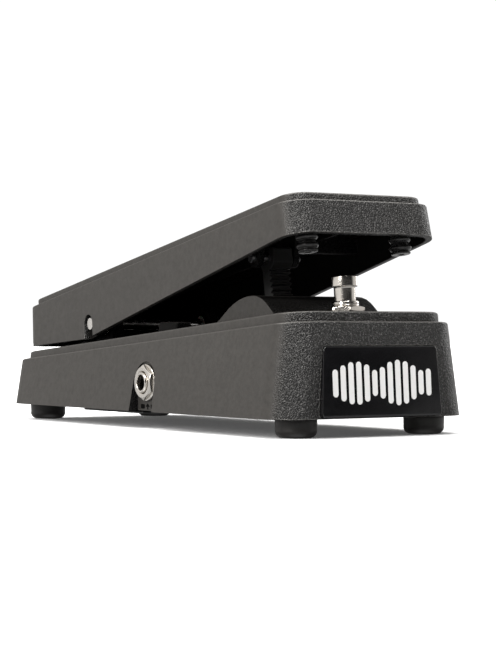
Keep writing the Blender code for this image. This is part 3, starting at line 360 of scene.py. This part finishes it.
def gloss_black(name):
    """Polished black with long faint smears."""
    tone, fine_share = (0.0075, 0.0075, 0.0085), 0.1
    g = Graph(name)
    smear = g.noise(scale=60.0, detail=4.0, roughness=0.65, vector=g.stretched(1.0, 1.0, 2.6))
    fine = g.noise(scale=1500.0)
    colour = g.scale_colour(tone, g.ramp(smear, to=(0.85, 1.25)))
    rough = g.add(g.ramp(smear, across=(0.35, 0.75), to=(0.10, 0.20)),
                  g.ramp(fine, to=(-0.01, 0.02)))
    normal = g.bump(g.add(smear, g.times(fine, fine_share)), distance=0.00001, strength=0.25,
                    normal=g.soft_edge(radius=0.0002))
    return g.finish(colour, rough, Normal=normal, Specular_IOR_Level=0.5, Coat_Weight=0.35,
                    Coat_Roughness=0.06)


# White print that also glows faintly: its emission is painted light.
def white_print_with_painted_glow(name):
    tone = (0.86, 0.86, 0.85)
    g = Graph(name)
    ink = g.noise(scale=900.0, detail=3.0, roughness=0.6)
    return g.finish(g.scale_colour(tone, g.ramp(ink, to=(0.93, 1.04))),
                    g.ramp(ink, to=(0.36, 0.48)),
                    Normal=g.bump(ink, distance=0.00001, strength=0.3), Specular_IOR_Level=0.4,
                    Emission_Color=(1.0, 1.0, 1.0), Emission_Strength=0.16)


def label_ink(name):
    """Matt black print."""
    tone = (0.0035, 0.0035, 0.0035)
    g = Graph(name)
    worn = g.noise(scale=2600.0, roughness=0.6)
    return g.finish(g.scale_colour(tone, g.ramp(worn, to=(0.8, 1.6))), roughness=0.9,
                    Specular_IOR_Level=0.05)


def board(name):
    """Solder mask with tracks showing through as slightly lighter, raised lines."""
    mask_tone, track_tone = (0.008, 0.085, 0.030), (0.022, 0.19, 0.075)
    black, white = (0.0, 0.0, 0.0), (1.0, 1.0, 1.0)
    g = Graph(name)
    brick = g.node("ShaderNodeTexBrick", {
        "Vector": g.coord, "Scale": 95.0, "Mortar Size": 0.035, "Mortar Smooth": 0.2,
        "Brick Width": 0.9, "Row Height": 0.3, "Color1": black, "Color2": black,
        "Mortar": white})
    areas = g.smooth(g.noise(scale=70.0, detail=1.0), across=(0.42, 0.55))
    tracks = g.times(brick.outputs["Color"], areas)
    colour = g.mix(tracks, mask_tone, track_tone)
    colour = g.scale_colour(colour, g.ramp(g.noise(scale=200.0, detail=3.0), to=(0.9, 1.1)))
    return g.finish(colour, roughness=0.32,
                    Normal=g.bump(tracks, distance=0.00003, strength=0.7),
                    Coat_Weight=0.3, Coat_Roughness=0.15)


def battery_jacket(name):
    """Dark jacket with a gold band on its +Y end."""
    dark, gold = (0.035, 0.036, 0.040), (0.42, 0.33, 0.17)
    g = Graph(name)
    band = g.smooth(g.axes(g.coord)[1], across=(0.0345, 0.0352))
    scuffs = g.noise(scale=500.0, detail=4.0, roughness=0.7, vector=g.stretched(1.0, 0.15, 1.0))
    colour = g.scale_colour(g.mix(band, dark, gold), g.ramp(scuffs, to=(0.88, 1.12)))
    return g.finish(colour, g.ramp(scuffs, to=(0.24, 0.40)), metallic=0.55,
                    Normal=g.bump(scuffs, distance=0.00001, strength=0.4))


PAINT = casting_paint("casting_paint", shade=painted_shade_in_gap, depth=0.93)
# The treadle's paint is toned down to 0.78 as painted shade, offsetting corner_kick, which lights
# the treadle alone.
SHADED_TREADLE_PAINT = casting_paint("shaded_treadle_paint", tone=0.78, shade=painted_shade_under_treadle)
PLATE = casting_paint("plate_paint", tone=0.42, coarse=0.4)
RUBBER = rubber("moulded_rubber", tone=(0.0200, 0.0184, 0.0170), rough=0.42)
BUMPER_RUBBER = rubber("bumper_rubber", tone=(0.0065, 0.0062, 0.0060), rough=0.24)
TREAD = rubber("tread_rubber", tone=(0.0150, 0.0145, 0.0140), rough=0.68, grain=3000.0, dust=0.5)
NICKEL = metal("nickel_plate", tone=(0.80, 0.765, 0.715), rough=0.15)
STEEL = metal("zinc_steel", tone=(0.56, 0.56, 0.57), rough=0.32)
AXLE = metal("bright_axle", tone=(0.82, 0.80, 0.77), rough=0.20)
SPRING = metal("spring_steel", tone=(0.42, 0.43, 0.45), rough=0.28)
BLACK = plastic("black_plastic", tone=(0.018, 0.018, 0.019), rough=0.44)
WIRE_BLACK = plastic("black_insulation", tone=(0.015, 0.015, 0.016), rough=0.38)
WIRE_RED = plastic("red_insulation", tone=(0.42, 0.018, 0.016), rough=0.38)
DARK_ACETAL = plastic("dark_acetal", tone=(0.012, 0.012, 0.0115), rough=0.36, grain=2200.0,
                      depth=0.00001)
NYLON = plastic("natural_nylon", tone=(0.70, 0.67, 0.60), rough=0.40, grain=2200.0,
                depth=0.00001, bleed=0.15)
GLOSS = gloss_black("badge_gloss")
INK = white_print_with_painted_glow("badge_ink_painted_glow")
DARK_INK = label_ink("label_ink")
BOARD = board("circuit_board")
SWITCH_CASE = plastic("switch_case", tone=(0.020, 0.055, 0.230), rough=0.34, coat=0.3)
SLEEVE = plastic("capacitor_sleeve", tone=(0.020, 0.045, 0.180), rough=0.30, coat=0.4)
FILM = plastic("film_dip", tone=(0.46, 0.17, 0.025), rough=0.28, coat=0.5)
FERRITE = plastic("ferrite", tone=(0.045, 0.045, 0.050), rough=0.62, grain=1800.0,
                  depth=0.00004)
JACKET = battery_jacket("battery_jacket")


# ------------------------------------------------------------------ mesh helpers
def to_object(bm, name, mat, angle=35.0, matrix=None):
    """Smooth-shaded object; edges sharper than the angle in degrees stay crisp."""
    bmesh.ops.recalc_face_normals(bm, faces=bm.faces)
    mesh = bpy.data.meshes.new(name)
    bm.to_mesh(mesh)
    bm.free()
    if matrix is not None:
        mesh.transform(matrix)
    mesh.materials.append(mat)
    mesh.shade_smooth()
    mesh.set_sharp_from_angle(angle=math.radians(angle))
    made = bpy.data.objects.new(name, mesh)
    scene.collection.objects.link(made)
    return made


def add_ring(bm, points):
    """Vertices at points given in mm."""
    return [bm.verts.new([v * MM for v in point]) for point in points]


def skin(bm, rings, closed=False):
    """Faces between neighbouring rings, any of which may be a single point."""
    for first, second in zip(rings, rings[1:] + (rings[:1] if closed else [])):
        count = max(len(first), len(second))
        for i in range(count):
            j = (i + 1) % count
            corners = (first[i % len(first)], first[j % len(first)],
                       second[j % len(second)], second[i % len(second)])
            bm.faces.new(list(dict.fromkeys(corners)))


def turned(name, mat, rows, steps, angle, matrix, closed=True):
    """Shape round the z axis. A row is a (radius, z) pair, or gives one for each angle."""
    bm = bmesh.new()
    rings = []
    for row in rows:
        if not callable(row) and row[0] == 0.0:
            rings.append(add_ring(bm, [(0.0, 0.0, row[1])]))
            continue
        ring = []
        for i in range(steps):
            a = 2 * math.pi * i / steps
            radius, z = row(a) if callable(row) else row
            ring.append((radius * math.cos(a), radius * math.sin(a), z))
        rings.append(add_ring(bm, ring))
    skin(bm, rings, closed)
    return to_object(bm, name, mat, angle, matrix)


def arc(across, up, radius, start, end, count):
    """Points round the centre (across, up), from start to end in degrees."""
    angles = [math.radians(start + (end - start) * i / count) for i in range(count + 1)]
    return [(across + radius * math.cos(a), up + radius * math.sin(a)) for a in angles]


def rounded(x0, x1, y0, y1, radius, count=8):
    """Rectangle with rounded corners."""
    return (arc(x1 - radius, y1 - radius, radius, 0, 90, count)
            + arc(x0 + radius, y1 - radius, radius, 90, 180, count)
            + arc(x0 + radius, y0 + radius, radius, 180, 270, count)
            + arc(x1 - radius, y0 + radius, radius, 270, 360, count))


def hexagon(across, angle):
    """Distance from the centre to a hexagon's side at an angle."""
    return across / 2 / math.cos(angle % (math.pi / 3) - math.pi / 6)


def nut(name, matrix, across, height, bore, chamfer, chamfer_low=0.0):
    """Nickel hexagon nut with turned chamfers and a countersunk bore (bore is a radius)."""
    corner = across / math.sqrt(3)
    flat = across / 2 * 0.965
    stages = (0.2, 0.45, 0.72, 1.0)     # shares of a chamfer's height

    def side(z, limit):
        return lambda a: (min(hexagon(across, a), limit), z)

    def cone(z, share):
        return side(z, flat + (corner - flat) * 1.02 * share)

    rows = [(bore, 0.5), (bore + 0.45, 0.0)]
    if chamfer_low:
        rows += [(flat, 0.0)] + [cone(chamfer_low * share, share) for share in stages]
    else:
        rows += [side(0.0, corner - 0.12), side(0.12, corner)]
    rows += [cone(height - chamfer * share, share) for share in reversed(stages)]
    rows += [(flat, height), (bore + 0.5, height), (bore, height - 0.5)]
    return turned(name, NICKEL, rows, steps=120, angle=28.0, matrix=matrix)


def thread_rows(z0, z1, outer, pitch):
    """Rows of a screw thread from z0 up to z1, fading out at both ends."""
    depth, per_turn, run_out = 0.22, 7, 0.9
    count = int((z1 - z0) / pitch * per_turn)
    rows = []
    for i in range(count + 1):
        z = z0 + (z1 - z0) * i / count
        fade = min(1.0, (z - z0) / run_out, (z1 - z) / run_out)

        def row(a, z=z, fade=fade):
            phase = (z / pitch - a / (2 * math.pi)) % 1.0
            notch = abs(phase - 0.5) * 2.0
            return outer - depth * (fade * notch + 0.35 * (1 - fade)), z
        rows.append(row)
    return rows


def prism(loop, low, high, axis, name, mat, edge=0.0):
    """A flat outline made solid along an axis, with its rims rounded by edge mm."""
    place = {"x": lambda a, b, c: (c, a, b), "y": lambda a, b, c: (a, c, b),
             "z": lambda a, b, c: (a, b, c)}[axis]
    bm = bmesh.new()
    rings = [add_ring(bm, [place(a, b, level) for a, b in loop]) for level in (low, high)]
    caps = [bm.faces.new(ring) for ring in rings]
    skin(bm, rings)
    bmesh.ops.recalc_face_normals(bm, faces=bm.faces)
    if edge:
        rim = {e for face in caps for e in face.edges}
        bmesh.ops.bevel(bm, geom=list(rim), offset=edge * MM, segments=3, profile=0.5,
                        affect="EDGES", clamp_overlap=True)
    return to_object(bm, name, mat)


def merge(name, pieces, mat):
    """Closed shapes of one moulding gathered in one object."""
    bm = bmesh.new()
    for piece in pieces:
        bm.from_mesh(piece.data)
        bpy.data.objects.remove(piece, do_unlink=True)
    mesh = bpy.data.meshes.new(name)
    bm.to_mesh(mesh)
    bm.free()
    mesh.materials.append(mat)
    made = bpy.data.objects.new(name, mesh)
    scene.collection.objects.link(made)
    return made


def fit(piece, body, slot, *nodes):
    """Fix a piece to a moving body, in place of the model's nodes if any are named."""
    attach(piece, body)
    if nodes:
        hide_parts(*nodes)


# ------------------------------------------------------------------ frames from the model
def centre(node):
    low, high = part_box(node)
    return (low + high) / 2


def shift(x, y, z):
    return Matrix.Translation((x * MM, y * MM, z * MM))


TREADLE = Matrix.Translation(PIVOT) @ Matrix.Rotation(-TILT, 4, "X")
# The foot switch's frame starts at the casing's top, 0.6 mm below its washer's middle.
switch_axis = Vector(JOINTS["footswitch_press"]["axis"])
switch_lean = -math.atan2(switch_axis.y, switch_axis.z)
switch_foot = centre("footswitch_washer") - switch_axis.normalized() * 0.6 * MM
SWITCH = Matrix.Translation(switch_foot) @ Matrix.Rotation(switch_lean, 4, "X")
JACKS = (("input", -1), ("output", 1))      # name, and side along x


def jack_matrix(label, side):
    """Frame of a socket, its z pointing out of the casing, 0.3 mm behind the washer's face."""
    low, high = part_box(label + "_jack_washer")
    mid = (low + high) / 2
    wall = (high.x + 0.3 * MM) if side < 0 else (low.x - 0.3 * MM)
    return Matrix.Translation((wall, mid.y, mid.z)) @ Matrix.Rotation(side * math.pi / 2, 4, "Y")


# ------------------------------------------------------------------ rubber feet
FOOT_NAMES = ("front_left", "front_right", "rear_left", "rear_right")
FOOT_PROFILE = [    # radius, z
    (3.0, 7.55), (8.5, 7.55), *arc(8.5, 7.25, 0.3, 90, 0, 3), (8.76, 5.6), (8.7, 4.6),
    *arc(5.75, 2.95, 2.95, 8, -90, 12), (4.7, 0.0), *arc(4.7, 0.35, 0.35, -90, -180, 3),
    (4.3, 3.2), *arc(3.9, 3.2, 0.35, 0, 90, 3), (3.0, 3.6)]

for key in FOOT_NAMES:
    mid = centre("foot_" + key)
    foot = turned("rubber_foot_" + key, RUBBER, FOOT_PROFILE, steps=72, angle=50.0,
                  matrix=Matrix.Translation((mid.x, mid.y, 0.0)))
    fit(foot, "base", "rubber", "foot_" + key)


# ------------------------------------------------------------------ toe bumpers
BUMPER_X, BUMPER_Y = 24.0, -168.3       # in the treadle's frame
RIB_COUNT, RIB_TOP, RIB_PITCH, RIB_HEIGHT = 3, 10.5, 3.6, 2.2


def bumper_rows():
    """Rows of a plug with three bulging ribs, from the middle of its top to its bottom."""
    rows = [(0.0, 13.1), (2.75, 13.1), (2.95, 13.35), (2.95, 18.9), (4.0, 18.9), (4.05, 18.6),
            (4.0, 11.2)]
    for i in range(RIB_COUNT):
        top = RIB_TOP - RIB_PITCH * i
        rows += [(3.8, top + 0.45), (3.78, top + 0.1)]
        rows += [(3.95 + 0.85 * math.sin(math.pi * t) ** 0.8, top - RIB_HEIGHT * t)
                 for t in (0.08, 0.2, 0.35, 0.5, 0.65, 0.8, 0.92)]
        rows += [(3.78, top - 2.35)]
    return rows + [(3.8, 0.75), *arc(3.75, -0.05, 0.45, 60, -90, 6), (1.6, -0.5), (1.3, -0.15),
                   (0.0, -0.1)]


for label, x in (("left", -BUMPER_X), ("right", BUMPER_X)):
    bumper = turned("toe_bumper_ribbed_" + label, BUMPER_RUBBER, bumper_rows(), steps=72,
                    angle=45.0, matrix=TREADLE @ shift(x, BUMPER_Y, 0.0), closed=False)
    fit(bumper, "treadle", "rubber", "toe_bumper_" + label)


# ------------------------------------------------------------------ foot switch
BUTTON_PROFILE = [  # radius, z
    (0.0, 16.98), (1.8, 16.95), (3.4, 16.84), (4.6, 16.62), *arc(5.0, 15.95, 0.6, 75, 0, 6),
    (5.6, 14.0), (5.6, 12.35), *arc(5.4, 12.2, 0.2, 0, -90, 3), (4.8, 12.0), (4.6, 11.75),
    (4.58, 11.2), (4.58, 6.5), (4.58, 2.0), (4.58, -0.2), (4.4, -0.38), (0.0, -0.4)]
SWITCH_THREAD = [   # radius, z
    (4.82, -2.9), (5.75, -2.9), *thread_rows(-2.6, 5.2, outer=5.94, pitch=0.75),
    (5.75, 5.45), (5.6, 5.68), (5.0, 5.68), (4.82, 5.5)]


def toothed(z):
    """Row round a washer's 24 small outer teeth."""
    return lambda a: (7.85 + 0.3 * (0.5 + 0.5 * math.cos(a * 24)) ** 0.6, z)


TOOTHED_WASHER = [(6.05, 0.34), (7.3, 0.34), toothed(0.42), toothed(0.78), (7.3, 0.86),
                  (6.05, 0.86)]

fit(turned("foot_switch_button", NICKEL, BUTTON_PROFILE, steps=96, angle=38.0, matrix=SWITCH,
           closed=False), "plunger", "nickel", "footswitch_plunger")
fit(turned("foot_switch_bushing", NICKEL, SWITCH_THREAD, steps=64, angle=50.0, matrix=SWITCH),
    "base", "nickel", "footswitch_bushing")
nut_turn = Matrix.Rotation(math.radians(12), 4, "Z")
fit(nut("foot_switch_nut", SWITCH @ shift(0, 0, 1.2) @ nut_turn, across=14.4, height=2.15,
        bore=6.02, chamfer=0.55, chamfer_low=0.25), "base", "nickel", "footswitch_nut")
fit(turned("foot_switch_washer", STEEL, TOOTHED_WASHER, steps=240, angle=40.0, matrix=SWITCH),
    "base", "steel", "footswitch_washer")


# ------------------------------------------------------------------ sockets
SOCKET_WASHER = [   # radius, z
    (5.05, 0.32), (7.9, 0.32), (8.28, 0.45), (8.28, 1.05), (8.15, 1.35), (7.85, 1.48),
    (7.2, 1.5), (5.05, 1.5)]
SOCKET_BUSHING = [  # radius, z
    (3.42, -3.9), (3.5, -3.98), (7.3, -3.98), (7.38, -3.9), (7.38, -2.68), (7.3, -2.62),
    (4.7, -2.62), *thread_rows(-2.4, 3.3, outer=4.72, pitch=0.7),
    (4.6, 3.72), (4.4, 3.96), *arc(3.95, 3.6, 0.4, 90, 180, 5), (3.42, 2.8)]

for label, side in JACKS:
    at = jack_matrix(label, side)
    fit(turned(label + "_socket_washer", NICKEL, SOCKET_WASHER, steps=96, angle=30.0, matrix=at),
        "base", "nickel", label + "_jack_washer")
    fit(nut(label + "_socket_nut", at @ shift(0, 0, 1.6), across=14.0, height=1.5, bore=4.95,
            chamfer=0.8), "base", "nickel", label + "_jack_nut")
    fit(turned(label + "_socket_bushing", NICKEL, SOCKET_BUSHING, steps=64, angle=45.0,
               matrix=at), "base", "nickel", label + "_jack_bushing")


# ------------------------------------------------------------------ badge
low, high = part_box("badge_plate")
badge_bottom, badge_top = low.z / MM, high.z / MM
badge_back, badge_low_y = high.y / MM, low.y / MM
badge_x = (low.x + high.x) / 2 / MM
BOTTOM_HALF = (high.x - low.x) / 2 / MM
TOP_HALF = BOTTOM_HALF - 1.6
BADGE_LEAN = 1.9            # how far the upper edge stands behind the lower one
BADGE_EDGE, EDGE_INSET = 0.42, 0.48     # depth and width of the rounded front edge


def badge_outline(inset):
    """Trapezium with rounded corners, as (x, z)."""
    radius = 1.7 - inset
    corners = [     # x, z, start angle
        (TOP_HALF - inset, badge_top - inset, 0), (-TOP_HALF + inset, badge_top - inset, 90),
        (-BOTTOM_HALF + inset, badge_bottom + inset, 180),
        (BOTTOM_HALF - inset, badge_bottom + inset, 270)]
    loop = []
    for x, z, start in corners:
        loop += arc(x - math.copysign(radius, x), z - math.copysign(radius, z - 20), radius,
                    start, start + 90, 10)
    return [(x + badge_x, z) for x, z in loop]


def badge_front(z):
    """The y of the leaning front face at height z."""
    return badge_low_y + BADGE_LEAN * (z - badge_bottom) / (badge_top - badge_bottom)


def badge_plate():
    bm = bmesh.new()
    rings = [add_ring(bm, [(x, badge_back, z) for x, z in badge_outline(0.0)])]
    for degrees in (0, 25, 50, 75, 90):
        turn = math.radians(degrees)
        depth = BADGE_EDGE * (1 - math.sin(turn))
        outline = badge_outline(EDGE_INSET * (1 - math.cos(turn)))
        rings.append(add_ring(bm, [(x, badge_front(z) + depth, z) for x, z in outline]))
    skin(bm, rings)
    bm.faces.new(rings[0])
    bm.faces.new(rings[-1])
    return to_object(bm, "toe_badge", GLOSS, 30.0)


def level_bars():
    """Row of thirteen upright bars printed on the badge's front."""
    count, first, pitch, half_width, middle = 13, -23.8, 3.97, 1.32, 22.4
    bars = []
    for i in range(count):
        share = i / (count - 1)
        wave = abs(math.sin(math.pi * (share * 2.0 + 0.12)))
        swell = 0.55 + 0.45 * math.sin(math.pi * share)
        half = 4.6 + 5.2 * wave * swell
        x = badge_x + first + pitch * i
        outline = rounded(x - half_width, x + half_width, middle - half, middle + half, 1.3, 5)
        bar = prism(outline, -0.045, 0.03, "y", "bar", INK)
        for vert in bar.data.vertices:
            vert.co.y += badge_front(vert.co.z / MM) * MM
        bars.append(bar)
    return merge("badge_level_bars", bars, INK)


fit(badge_plate(), "base", "badge_gloss", "badge_plate")
fit(level_bars(), "base", "badge_gloss")


# ------------------------------------------------------------------ mark under each socket
ARROW = [       # y from the socket's middle, z
    (-0.5, 8.7), (0.5, 8.7), (0.5, 9.9), (1.9, 9.9), (0.0, 11.5), (-1.9, 9.9), (-0.5, 9.9)]
INK_DEPTH = 0.06
SIDE_BAR_Y, SIDE_BAR_HALF = 4.4, 1.7

for label, side in JACKS:
    wall = jack_matrix(label, side).translation
    x, y = wall.x / MM, wall.y / MM
    span = sorted((x, x + side * INK_DEPTH))
    side_bars = [prism(rounded(mid - SIDE_BAR_HALF, mid + SIDE_BAR_HALF, 9.0, 11.0, 0.5, 4),
                       *span, "x", "bar", DARK_INK)
                 for mid in (y - SIDE_BAR_Y, y + SIDE_BAR_Y)]
    arrow = prism([(y + off, z) for off, z in ARROW], *span, "x", "arrow", DARK_INK)
    fit(merge(label + "_arrow_mark", [arrow, *side_bars], DARK_INK), "base", "black_plastic")


# ------------------------------------------------------------------ ribbed tread mat
MAT_X, MAT_TOE, MAT_HEEL, MAT_CORNER = 31.6, -172.7, 61.6, 5.9      # in the treadle's frame
MAT_BORDER = [  # inset, z of the closed section of the raised border
    (0.25, 22.2), (0.2, 22.95), (0.35, 23.2), (0.6, 23.3), (2.0, 23.3), (2.3, 23.2),
    (2.5, 22.95), (2.55, 22.2)]
RIB_ENDS = [    # x, share of the ribs' full rise
    (-28.2, 0.0), (-27.95, 0.6), (-27.5, 1.0), (27.5, 1.0), (27.95, 0.6), (28.2, 0.0)]


def mat_outline(inset):
    return rounded(-MAT_X + inset, MAT_X - inset, MAT_TOE + inset, MAT_HEEL - inset,
                   MAT_CORNER - inset)


def mat_border():
    bm = bmesh.new()
    rings = [add_ring(bm, [(x, y, z) for x, y in mat_outline(inset)]) for inset, z in MAT_BORDER]
    skin(bm, rings, closed=True)
    return to_object(bm, "border", TREAD, 40.0)


def mat_ribs():
    """Rounded ribs across the mat, as one extruded section with softened ends."""
    inset, rise, base, bottom = 3.6, 0.93, 22.38, 22.2
    start, end = MAT_TOE + inset, MAT_HEEL - inset
    count = int((end - start) / 3.3)
    pitch = (end - start) / count
    section = []    # y, rise
    for i in range(count):
        foot = start + i * pitch
        section.append((foot, 0.0))
        section += [(foot + t * pitch, rise * math.sin(math.pi * ((t - 0.1) / 0.8)) ** 0.45)
                    for t in (0.14, 0.22, 0.34, 0.5, 0.66, 0.78, 0.86)]
    section.append((end, 0.0))
    bm = bmesh.new()
    rings = [add_ring(bm, [(x, y, base + height * share) for y, height in section]
                      + [(x, end, bottom), (x, start, bottom)]) for x, share in RIB_ENDS]
    skin(bm, rings)
    bm.faces.new(rings[0])
    bm.faces.new(rings[-1])
    return to_object(bm, "ribs", TREAD, 40.0)


slab = prism(mat_outline(0.0), 21.62, 22.35, "z", "slab", TREAD, edge=0.12)
tread_mat = merge("ribbed_tread_mat", [slab, mat_border(), mat_ribs()], TREAD)
tread_mat.data.shade_smooth()
tread_mat.data.set_sharp_from_angle(angle=math.radians(38))
tread_mat.data.transform(TREADLE)
fit(tread_mat, "treadle", "tread_rubber", "treadle_mat")


# ------------------------------------------------------------------ parts kept from the model
def dress(node, mat):
    """Give a part of the model its finish and smooth shading."""
    obj = frame["nodes"][node]
    mesh = obj.data
    held = mesh.attributes.get("custom_normal")
    if held is not None:
        mesh.attributes.remove(held)
    mesh.shade_smooth()
    if len(obj.material_slots):
        for slot in obj.material_slots:
            slot.material = mat
    else:
        mesh.materials.append(mat)
    weld = obj.modifiers.new("weld", "WELD")
    weld.merge_threshold = 0.000002
    split = obj.modifiers.new("split", "EDGE_SPLIT")
    split.split_angle = math.radians(32.0)
    split.use_edge_sharp = False
    weighted = obj.modifiers.new("weighted", "WEIGHTED_NORMAL")
    weighted.keep_sharp = True
    weighted.weight = 80


FINISH = {
    PAINT: ["base_shell"],
    SHADED_TREADLE_PAINT: ["treadle_shell"],
    PLATE: ["bottom_plate"],
    RUBBER: ["heel_bumper_left", "heel_bumper_right", "switch_pad"],
    STEEL: ["foot_screw_" + key for key in FOOT_NAMES] + [
        "control_shaft", "control_body", "control_nut", "gear_bracket", "bracket_screw_rear",
        "bracket_screw_front", "board_screw_front", "board_screw_rear", "axle_clip_left",
        "axle_clip_right", "rack_pin"],
    SPRING: ["guide_spring"],
    AXLE: ["pivot_axle"],
    BLACK: ["battery_door", "input_jack_body", "output_jack_body", "dc_jack", "battery_snap"],
    WIRE_BLACK: ["battery_wire_black"],
    WIRE_RED: ["battery_wire_red"],
    DARK_ACETAL: ["rack", "pinion"],
    NYLON: ["rack_guide", "pivot_bush_left", "pivot_bush_right"],
    BOARD: ["main_board"],
    SWITCH_CASE: ["footswitch_body"],
    SLEEVE: ["electrolytic_capacitor"],
    FILM: ["film_capacitor"],
    FERRITE: ["inductor"],
    JACKET: ["battery"],
}
for finish, nodes in FINISH.items():
    for node in nodes:
        dress(node, finish)


# ------------------------------------------------------------------ floor
def floor_material():
    """White to the eye, a dim grey in reflections and bounced light, clear from below."""
    white, grey = (0.90, 0.90, 0.90), (0.26, 0.26, 0.26)
    g = Graph("pale_floor")
    paper = g.noise(scale=14.0, detail=3.0)
    g.finish(g.scale_colour(white, g.ramp(paper, to=(0.995, 1.005))), roughness=0.95,
             Specular_IOR_Level=0.0, Emission_Color=(1.0, 1.0, 1.0), Emission_Strength=0.06)
    dim = g.node("ShaderNodeBsdfDiffuse", {"Color": grey}).outputs[0]
    seen = g.node("ShaderNodeLightPath").outputs["Is Camera Ray"]
    above = g.node("ShaderNodeMixShader", {0: seen, 1: dim, 2: g.bsdf.outputs[0]}).outputs[0]
    behind = g.node("ShaderNodeNewGeometry").outputs["Backfacing"]
    clear = g.node("ShaderNodeBsdfTransparent").outputs[0]
    whole = g.node("ShaderNodeMixShader", {0: behind, 1: above, 2: clear}).outputs[0]
    g.put(g.out.inputs[0], whole)
    return g.mat


bm = bmesh.new()
bmesh.ops.create_grid(bm, x_segments=1, y_segments=1, size=8.0)
floor = to_object(bm, "floor", floor_material())

# Collections that say which objects a light reaches.
floor_only = bpy.data.collections.new("floor_only")
floor_only.objects.link(floor)
not_floor = bpy.data.collections.new("not_floor")
not_floor.objects.link(floor)
not_floor.collection_objects[0].light_linking.link_state = "EXCLUDE"
treadle_only = bpy.data.collections.new("treadle_only")
for obj in scene.objects:
    if obj.type == "MESH" and any(s.material == SHADED_TREADLE_PAINT for s in obj.material_slots):
        treadle_only.objects.link(obj)


# ------------------------------------------------------------------ surroundings
# Angles from -Y towards -X over which the light rises, in degrees, and the brightness reached.
WORLD_LEFT = ((66.0, 90.0), 0.80)
WORLD_RIGHT = ((-34.0, -62.0), 0.60)
WORLD_FRONT = 0.012         # brightness added everywhere
WORLD_TINT = (1.0, 0.975, 0.945)
BACKDROP = 1.05             # brightness the camera sees

world = bpy.data.worlds.new("studio")
scene.world = world
g = Nodes(world)
x, y, _ = g.axes(g.node("ShaderNodeTexCoord").outputs["Generated"])
turn = g.times(g.math("ARCTAN2", g.times(x, -1.0), g.times(y, -1.0)), 180.0 / math.pi)
sides = g.most(*[g.smooth(turn, across=angles, to=(0.0, level))
                 for angles, level in (WORLD_LEFT, WORLD_RIGHT)])
lit = g.node("ShaderNodeBackground", {"Color": WORLD_TINT, "Strength": g.add(sides, WORLD_FRONT)})
seen = g.node("ShaderNodeBackground", {"Color": (1.0, 1.0, 1.0), "Strength": BACKDROP})
camera_ray = g.node("ShaderNodeLightPath").outputs["Is Camera Ray"]
pick = g.node("ShaderNodeMixShader", {0: camera_ray, 1: lit.outputs[0], 2: seen.outputs[0]})
g.node("ShaderNodeOutputWorld", {0: pick.outputs[0]})


# ------------------------------------------------------------------ lights
def softbox(name, azimuth, elevation, distance, size, power, colour=(1.0, 1.0, 1.0),
            receivers=not_floor):
    """Rectangular light; azimuth runs from -Y towards -X, size is (width, height)."""
    data = bpy.data.lights.new(name, "AREA")
    data.shape = "RECTANGLE"
    data.size, data.size_y = size
    data.energy = power
    data.color = colour
    made = bpy.data.objects.new(name, data)
    scene.collection.objects.link(made)
    a, e = math.radians(azimuth), math.radians(elevation)
    back = Vector((-math.sin(a) * math.cos(e), -math.cos(a) * math.cos(e), math.sin(e)))
    target = Vector((0.0, -0.02, 0.05))
    made.location = target + back * distance
    made.rotation_mode = "QUATERNION"
    made.rotation_quaternion = back.to_track_quat("Z", "Y")
    made.light_linking.receiver_collection = receivers
    return made


softbox("key_left", azimuth=70.0, elevation=24.0, distance=1.5, size=(0.5, 0.55), power=11.5,
        colour=(1.0, 0.975, 0.945))
softbox("corner_kick", azimuth=56.0, elevation=17.0, distance=1.5, size=(0.20, 0.30), power=9.0,
        colour=(1.0, 0.98, 0.955), receivers=treadle_only)
softbox("top_soft", azimuth=25.0, elevation=66.0, distance=1.4, size=(0.9, 0.9), power=17.0,
        colour=(1.0, 0.985, 0.965))
softbox("rim_right", azimuth=-105.0, elevation=18.0, distance=1.6, size=(0.7, 0.8), power=5.0)
# What a white floor sends up: a weak light from below that the floor doesn't hold back.
bounce = softbox("floor_bounce", azimuth=20.0, elevation=-70.0, distance=1.2, size=(1.2, 1.2),
                 power=3.6)
bounce.light_linking.blocker_collection = not_floor

# A very broad sun lights the floor alone.
sky = bpy.data.lights.new("floor_light", "SUN")
sky.energy = 8.0
sky.angle = math.radians(150.0)
sky_object = bpy.data.objects.new("floor_light", sky)
scene.collection.objects.link(sky_object)
sky_object.rotation_euler = (math.radians(-30.0), math.radians(-34.0), 0.0)
sky_object.light_linking.receiver_collection = floor_only


# ------------------------------------------------------------------ camera
camera_data = bpy.data.cameras.new("camera")
camera_data.lens = 108.35241
camera_data.sensor_width = 36.0
camera_data.clip_start, camera_data.clip_end = 0.05, 50.0
camera = bpy.data.objects.new("camera", camera_data)
scene.collection.objects.link(camera)
camera.location = (-0.4899, -0.79346, 0.04226)
camera.rotation_euler = (math.radians(90.078), 0.0, math.radians(-32.502))
scene.camera = camera
scene.view_settings.view_transform = "Standard"
